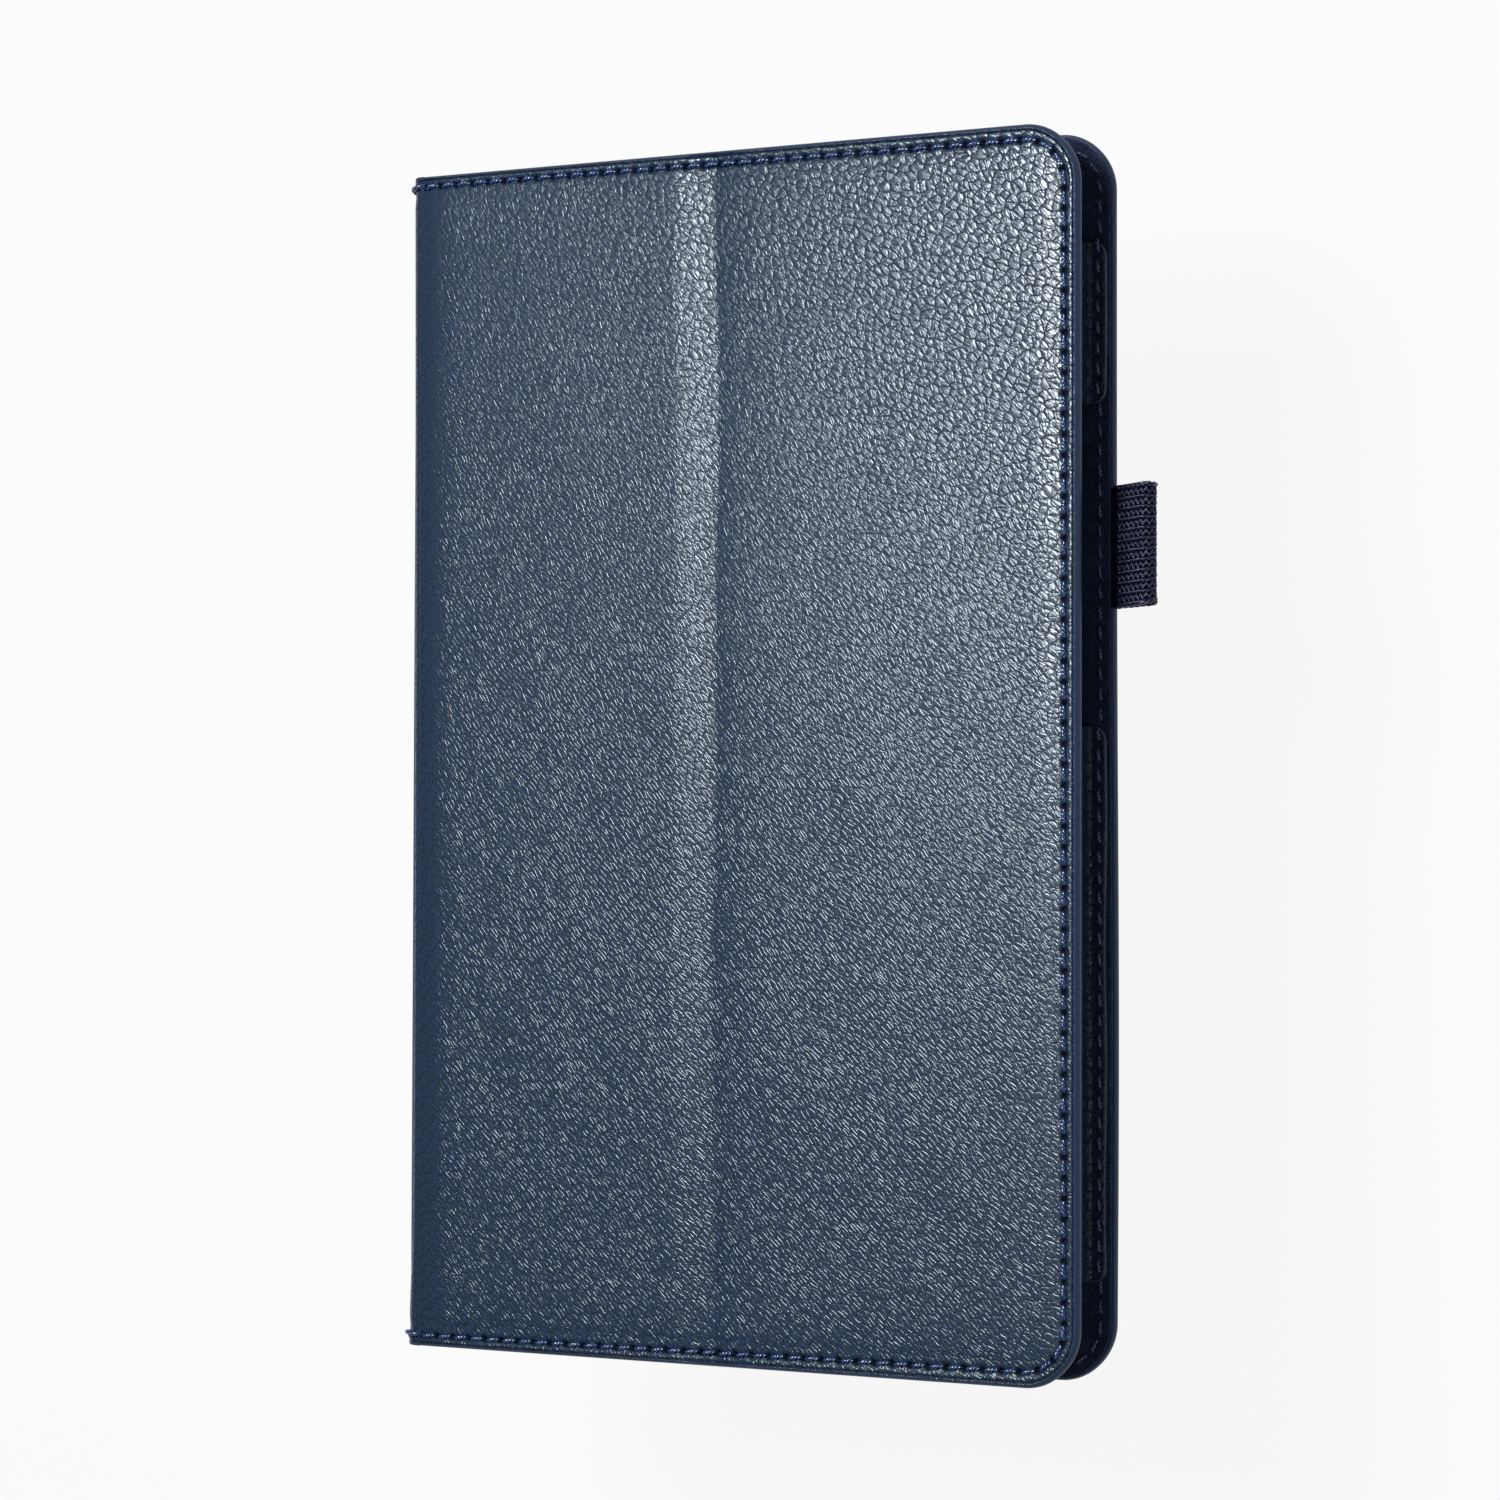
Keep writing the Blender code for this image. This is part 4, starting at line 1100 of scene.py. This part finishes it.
def tuckFlap():
    low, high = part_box("tuck_flap")
    half = (high.x - low.x) / 2
    middle = (high.x + low.x) / 2
    crown = high.z - half
    heights = np.linspace(0, 1, flapShape["steps"])
    bends = np.linspace(math.pi, 0, 7)[1:-1]
    points, grain, loops = [], [], []
    for station in wallStations(low.y, high.y, flapShape["corner"]):
        fromEnd = min(station - low.y, high.y - station)
        bottom = low.z + cornerCut(fromEnd, flapShape["corner"])
        side = [(half * (1 if s else flapShape["cutEdge"]), bottom + (crown - bottom) * s) for s in heights]
        section = [(-u, v) for u, v in side]
        section += [(half * math.cos(a), crown + half * math.sin(a)) for a in bends]
        section += side[::-1]
        loops.append(list(range(len(points), len(points) + len(section))))
        points += [(middle + u, station, v) for u, v in section]
        grain += [(v / mm * (1 if u > 0 else -1), station / mm, 0) for u, v in section]
    faces = loft(loops) + [tuple(loops[0]), tuple(loops[-1])]
    made = makeObject("mouthFlap", points, faces, leather, grain)
    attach(made, "pocket_flap")
    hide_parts("tuck_flap")
    rows = np.arange(low.y + flapShape["seamEnds"], high.y - flapShape["seamEnds"], frontSeam["pitch"])
    seamHeight = low.z + flapShape["seamHeight"]
    for name, side, seed in (("flapStitchesOut", -1, 13), ("flapStitchesIn", 1, 14)):
        stitches = [((middle + side * half, y, seamHeight), (0, 1, 0), (side, 0, 0)) for y in rows]
        row = sewn(name, stitches, flapStitch, thread, seed)
        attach(row, "pocket_flap")


tuckFlap()
print("flap made")


# the pen loop: a knitted band folded round, its ends sewn in between leather and lining

loopShape = {
    "width": 21.5 * mm, "middle": 36.3 * mm, "reach": 8.4 * mm, "depth": 3.4 * mm, "thick": 0.62 * mm,
    "overBack": 0.3 * mm,          # the round end's height over the table
    "tail": 0.6 * mm, "tailLength": 3.0 * mm, "root": 0.3 * mm, "straight": 1 * mm, "curl": 0.62 * math.pi,
    "tilt": math.radians(4.5), "corner": 1.7 * mm, "samples": 110, "columns": 30,
    "coreUnder": 0.30 * mm,        # how far the plain core and the yarn lie under the CAD band's face
    "yarnUnder": 0.22 * mm, "yarnLift": 0.08 * mm,
    "coreInset": 0.3 * mm, "ribInset": 0.6 * mm, "ropeInset": 0.36 * mm,
    "sewnSamples": 12, "sewnThick": 0.05 * mm,
    "bands": 11, "course": 0.52 * mm, "lean": math.radians(31), "knotSway": 0.35, "ropeSway": 0.2,
}
yarnShape = {"length": 1.30 * mm, "width": 0.40 * mm, "turns": 0.5, "sag": 0.16 * mm, "unevenness": 0.08}
knotShape = {"length": 0.72 * mm, "width": 0.56 * mm, "turns": 0.4, "sag": 0.10 * mm, "unevenness": 0.10}
ropeShape = {"length": 1.90 * mm, "width": 0.80 * mm, "turns": 0.6, "sag": 0.22 * mm, "unevenness": 0.04}


def loopPath(inward):
    radius = loopShape["depth"] / 2
    centre = (foreEdge + loopShape["reach"] - radius, radius + loopShape["overBack"])
    topZ, lowZ = rimDepth - inward, rimDepth - loopShape["tail"] + inward
    root = foreEdge + loopShape["root"]
    steps = [root - loopShape["tailLength"], root - loopShape["straight"], root]
    path = [(x, topZ) for x in steps]
    for a in np.linspace(loopShape["curl"], -loopShape["curl"], 30):
        out, up = (radius - inward) * math.cos(a), (radius - inward) * math.sin(a)
        path.append((centre[0] + out, centre[1] + up))
    path = np.array(path + [(x, lowZ) for x in reversed(steps)])
    way = distances(path)
    even = np.linspace(0, way[-1], loopShape["samples"])
    path = np.stack([np.interp(even, way, path[:, k]) for k in (0, 1)], axis=-1)
    for easing in range(3):
        path[1:-1] = (path[:-2] + 2 * path[1:-1] + path[2:]) / 4
    return path


def tilted(x, y, z):
    # the band leans a little and its folded end has round corners
    out = max(x - foreEdge, 0)
    radius = loopShape["corner"]
    past = min(max(out - loopShape["reach"] + radius, 0), radius)
    drawn = (radius - math.sqrt(radius ** 2 - past ** 2)) / loopShape["width"]
    off = y - loopShape["middle"]
    return (x, loopShape["middle"] + off * (1 - drawn) + out * math.tan(loopShape["tilt"]), z)


def loopBand(half):
    outer = loopPath(loopShape["coreUnder"])
    inner = loopPath(loopShape["coreUnder"] + loopShape["thick"])
    sewnIn, thin = loopShape["sewnSamples"], loopShape["sewnThick"]
    inner[:sewnIn, 1] = outer[:sewnIn, 1] - thin
    inner[-sewnIn:, 1] = outer[-sewnIn:, 1] + thin
    section = np.concatenate([outer, inner[::-1]])
    reach = half - loopShape["coreInset"]
    points, grain, loops = [], [], []
    for y in loopShape["middle"] + np.linspace(-reach, reach, loopShape["columns"]):
        loops.append(list(range(len(points), len(points) + len(section))))
        points += [tilted(x, y, z) for x, z in section]
        grain += [(x / mm, y / mm, z / mm) for x, z in section]
    faces = loft(loops)
    count = len(outer)
    for ring in (loops[0], loops[-1]):
        faces += strip(ring[:count], ring[count:][::-1])
    band = makeObject("penLoopBand", points, faces, bandShadeCore, grain)
    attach(band, "back_cover")
    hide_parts("pen_loop")


# bands of zigzag yarn round the outside, a rib of small knots between bands, a rope along each selvedge

def loopYarn(half):
    path = loopPath(loopShape["yarnUnder"])
    way = distances(path)
    first, middle, bands = loopShape["tailLength"], loopShape["middle"], loopShape["bands"]
    band = (loopShape["width"] - 2 * loopShape["ribInset"]) / bands
    across = np.array([0, 1, 0])

    def at(station):
        return np.array([np.interp(station, way, path[:, k]) for k in (0, 1)])

    knit, knots, rope = [], [], []
    for index, station in enumerate(np.arange(first, way[-1] - first, loopShape["course"])):
        x, z = at(station)
        step = at(station + 0.2 * mm) - at(station - 0.2 * mm)
        step = step / np.linalg.norm(step)
        tangent = np.array([step[0], 0, step[1]])
        normal = np.array([-step[1], 0, step[0]])
        leg = 1 if index % 2 else -1
        leaning = across * math.cos(loopShape["lean"]) + leg * tangent * math.sin(loopShape["lean"])
        swaying = tangent * math.cos(loopShape["knotSway"]) + leg * across * math.sin(loopShape["knotSway"])
        for k in range(bands + 1):
            y = middle - half + loopShape["ribInset"] + band * k
            if k < bands:
                raised = np.array(tilted(x, y + band / 2, z)) + loopShape["yarnLift"] * normal
                knit.append((raised, leaning, normal))
            knots.append((tilted(x, y, z), swaying, normal))
        if index % 2:
            twisted = tangent * math.cos(loopShape["ropeSway"]) + across * math.sin(loopShape["ropeSway"])
            for end in (-1, 1):
                rope.append((tilted(x, middle + end * (half - loopShape["ropeInset"]), z), twisted, normal))
    yarns = (("penLoopKnit", knit, yarnShape, 21), ("penLoopRibs", knots, knotShape, 22),
             ("penLoopSelvedge", rope, ropeShape, 23))
    for name, stitches, shape, seed in yarns:
        piece = sewn(name, stitches, shape, elastic, seed)
        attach(piece, "back_cover")


loopBand(loopShape["width"] / 2)
loopYarn(loopShape["width"] / 2)
print("pen loop made")


# stage: pale floor, soft light, and the camera as fitted to the photograph

shot = {"yaw": 29.92, "pitch": -1.14, "roll": -0.10, "offset": (0.4 * mm, 1.4 * mm, 801 * mm), "lens": 106.03,
        "sensor": 36, "nearest": 0.01}
floorLook = {"half": 6.0, "under": 78 * mm,             # low enough for the cover folded under the case
             "colour": (0.66, 0.67, 0.69, 1), "rough": 0.9, "glow": 0.965, "whiteShare": 0.94}
worldLook = {"Color": (0.92, 0.95, 1.0, 1), "Strength": 0.20}
lamps = {"sheenPanel": {"place": (-0.05, 0.24, 0.72), "size": 0.30, "power": 9.5},
         "fillPanel": {"place": (0.9, -0.5, 1.1), "size": 0.9, "power": 3.0}}


def placeCamera():
    yaw, pitch, roll = (math.radians(shot[k]) for k in ("yaw", "pitch", "roll"))
    turn = Matrix.Rotation(roll, 3, "Z") @ Matrix.Rotation(pitch, 3, "X") @ Matrix.Rotation(-yaw, 3, "Y")
    lens = bpy.data.cameras.new("shotCamera")
    lens.lens = shot["lens"]
    lens.sensor_width = shot["sensor"]
    lens.clip_start = shot["nearest"]
    camera = bpy.data.objects.new("shotCamera", lens)
    bpy.context.scene.collection.objects.link(camera)
    place = Vector((0, 0, caseDepth / 2)) + turn.transposed() @ Vector(shot["offset"])
    camera.matrix_world = Matrix.Translation(place) @ turn.transposed().to_4x4()
    bpy.context.scene.camera = camera


def addLamp(name, look):
    lamp = bpy.data.lights.new(name, "AREA")
    lamp.shape = "RECTANGLE"
    lamp.size = lamp.size_y = look["size"]
    lamp.energy = look["power"]
    made = bpy.data.objects.new(name, lamp)
    bpy.context.scene.collection.objects.link(made)
    made.location = look["place"]
    made.rotation_euler = (-Vector(look["place"])).to_track_quat("-Z", "Y").to_euler()


def layFloor():
    material, tree, shader = newFinish("paleFloor")
    fill(tree, shader, {"Base Color": floorLook["colour"], "Roughness": floorLook["rough"]})
    glow = put(tree, "ShaderNodeEmission", {"Color": (1, 1, 1, 1), "Strength": floorLook["glow"]})
    white = floorLook["whiteShare"]
    both = put(tree, "ShaderNodeMixShader", {0: white, 1: shader.outputs[0], 2: glow.outputs[0]})
    rays = put(tree, "ShaderNodeLightPath").outputs
    seen = maths(tree, "MAXIMUM", rays["Is Camera Ray"], rays["Is Transmission Ray"])
    seen = maths(tree, "MAXIMUM", seen, rays["Is Glossy Ray"])
    final = put(tree, "ShaderNodeMixShader", {0: seen, 1: shader.outputs[0], 2: both.outputs[0]})
    tree.links.new(final.outputs[0], tree.nodes["Material Output"].inputs["Surface"])
    half = floorLook["half"]
    corners = [(-half, -half, 0), (half, -half, 0), (half, half, 0), (-half, half, 0)]
    floor = makeObject("floor", corners, [(0, 1, 2, 3)], material)
    floor.location.z = -floorLook["under"]


def lightWorld():
    world = bpy.data.worlds.new("studio")
    bpy.context.scene.world = world
    world.use_nodes = True
    fill(world.node_tree, world.node_tree.nodes["Background"], worldLook)


placeCamera()
layFloor()
lightWorld()
for name, look in lamps.items():
    addLamp(name, look)
bpy.context.scene.view_settings.view_transform = "Standard"
print("stage set")

inside = {"back_board": board, "front_inner_board": board, "front_outer_board": board, "spine_board": board,
          "bezel_card": board, "wake_magnet": plated}
for name, finish in inside.items():
    nodes[name].data.materials.clear()
    nodes[name].data.materials.append(finish)
